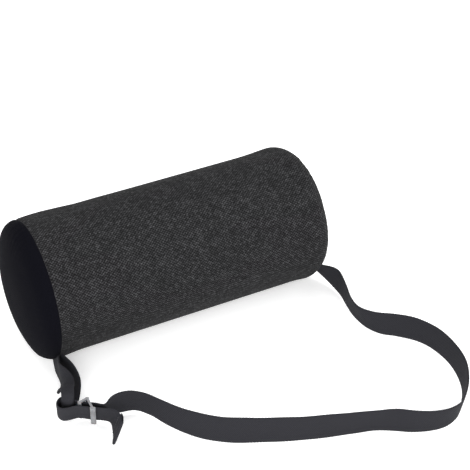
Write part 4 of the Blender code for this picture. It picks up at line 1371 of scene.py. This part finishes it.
def bridge_outline():
    """The arch over the slider that holds the pull: its round top, then its inside."""
    foot = PLATE_TOP - 0.3
    spring = slider_high.y - BRIDGE_RISE
    roof = slider_high.y - BRIDGE_WALL - 0.2
    inner = BRIDGE_REACH - BRIDGE_WALL
    arch = [(-BRIDGE_REACH, foot)]
    for k in range(9):
        c, s = math.cos(math.pi * (1 - k / 8)), math.sin(math.pi * (1 - k / 8))
        x = 0.0 if k == 4 else BRIDGE_REACH * math.copysign(math.sqrt(abs(c)), c)
        arch.append((x, spring + (BRIDGE_RISE * s ** 0.7 if 0 < k < 8 else 0.0)))
    arch += [(BRIDGE_REACH, foot), (inner, foot), (inner, roof), (-inner, roof), (-inner, foot)]
    return [(SLIDER_X + x, y) for x, y in arch]


def casting(solid, name, node, width):
    """Finish a zinc casting: round its edges and put it on the body of its own name."""
    solid.name = name
    softened(solid, width, ZINC)
    assign(solid, node, node)


def make_slider():
    under_top = slider_low.y + PLATE
    slider = slider_plate("top_plate", PLATE_TOP - PLATE, PLATE_TOP, 1.0)
    under = slider_plate("under_plate", slider_low.y, under_top, 0.98)
    neck = prism("neck", rounded_outline(1.5, 0.45, 2.5, 20, (SLIDER_X, 0.0)), under_top - 0.2,
                 PLATE_TOP - PLATE + 0.2, at_back)
    bridge = prism("bridge", bridge_outline(), -BRIDGE_HALF, BRIDGE_HALF, at_side)
    casting(combined(slider, [under, neck, bridge]), "zip_slider_casting", "zip_slider", 0.22)


def make_pull():
    middle = (SLIDER_X + PULL_TIP) / 2
    half = (PULL_TIP - SLIDER_X) / 2 + 0.35
    low, high = PIN_Y - PULL_THICK / 2, PIN_Y + PULL_THICK / 2
    slot_side = PULL_SIDE - 1.1
    outline = []
    for a, b in rounded_outline(half, PULL_SIDE, 4.5, 56):
        waist = 1.0 - 0.16 * math.exp(-((a + 0.25 * half) / 4.0) ** 2)
        outline.append((middle + a, b * waist))
    plate = prism("pull_plate", outline, low, high, at_back)
    holes = [prism(name, hole, low - CUT_PAST, high + CUT_PAST, at_back) for name, hole in (
        ("eye", rounded_outline(2.3, slot_side, 4.0, 28, (SLIDER_X + 2.9, 0.0))),
        ("grip", rounded_outline(1.9, 1.15, 2.6, 28, (PULL_TIP - 4.6, 0.0))))]
    combined(plate, holes, "DIFFERENCE")
    ridges = [prism(f"ridge_{k}", rounded_outline(0.42, slot_side, 4.0, 20, (PULL_TIP - 12.2 + 1.6 * k, 0.0)),
                    low - 0.2, high + 0.2, at_back) for k in range(3)]
    casting(combined(plate, ridges), "zip_pull_casting", "zip_pull", 0.18)


def make_stop(name, node):
    low, high = box_mm(node)
    middle = (low + high) / 2
    half = (high - low) / 2
    outline = rounded_outline(half.y, half.z, 3.0, 24, (middle.y, middle.z))
    stop = prism(name, outline, low.x, high.x, lambda a, b, x: Vector((x, a, b)))
    softened(stop, 0.25, ZINC)
    assign(stop, "roll", node)


make_slider()
make_pull()
make_stop("zip_stop_clip_closed", "zip_stop_closed_end")
make_stop("zip_stop_clip_open", "zip_stop_open_end")


# %% [markdown]
# The foam, the seams' inner edges and the zip tapes keep their solids, which already have the right
# shape.  They only need their materials.

# %% carried-over solids
for node, material in (("foam_core", FOAM), ("seam_edge_left", KNIT), ("seam_edge_right", KNIT),
                       ("zip_tape_upper", TAPE), ("zip_tape_lower", TAPE)):
    coat(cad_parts[node], material)
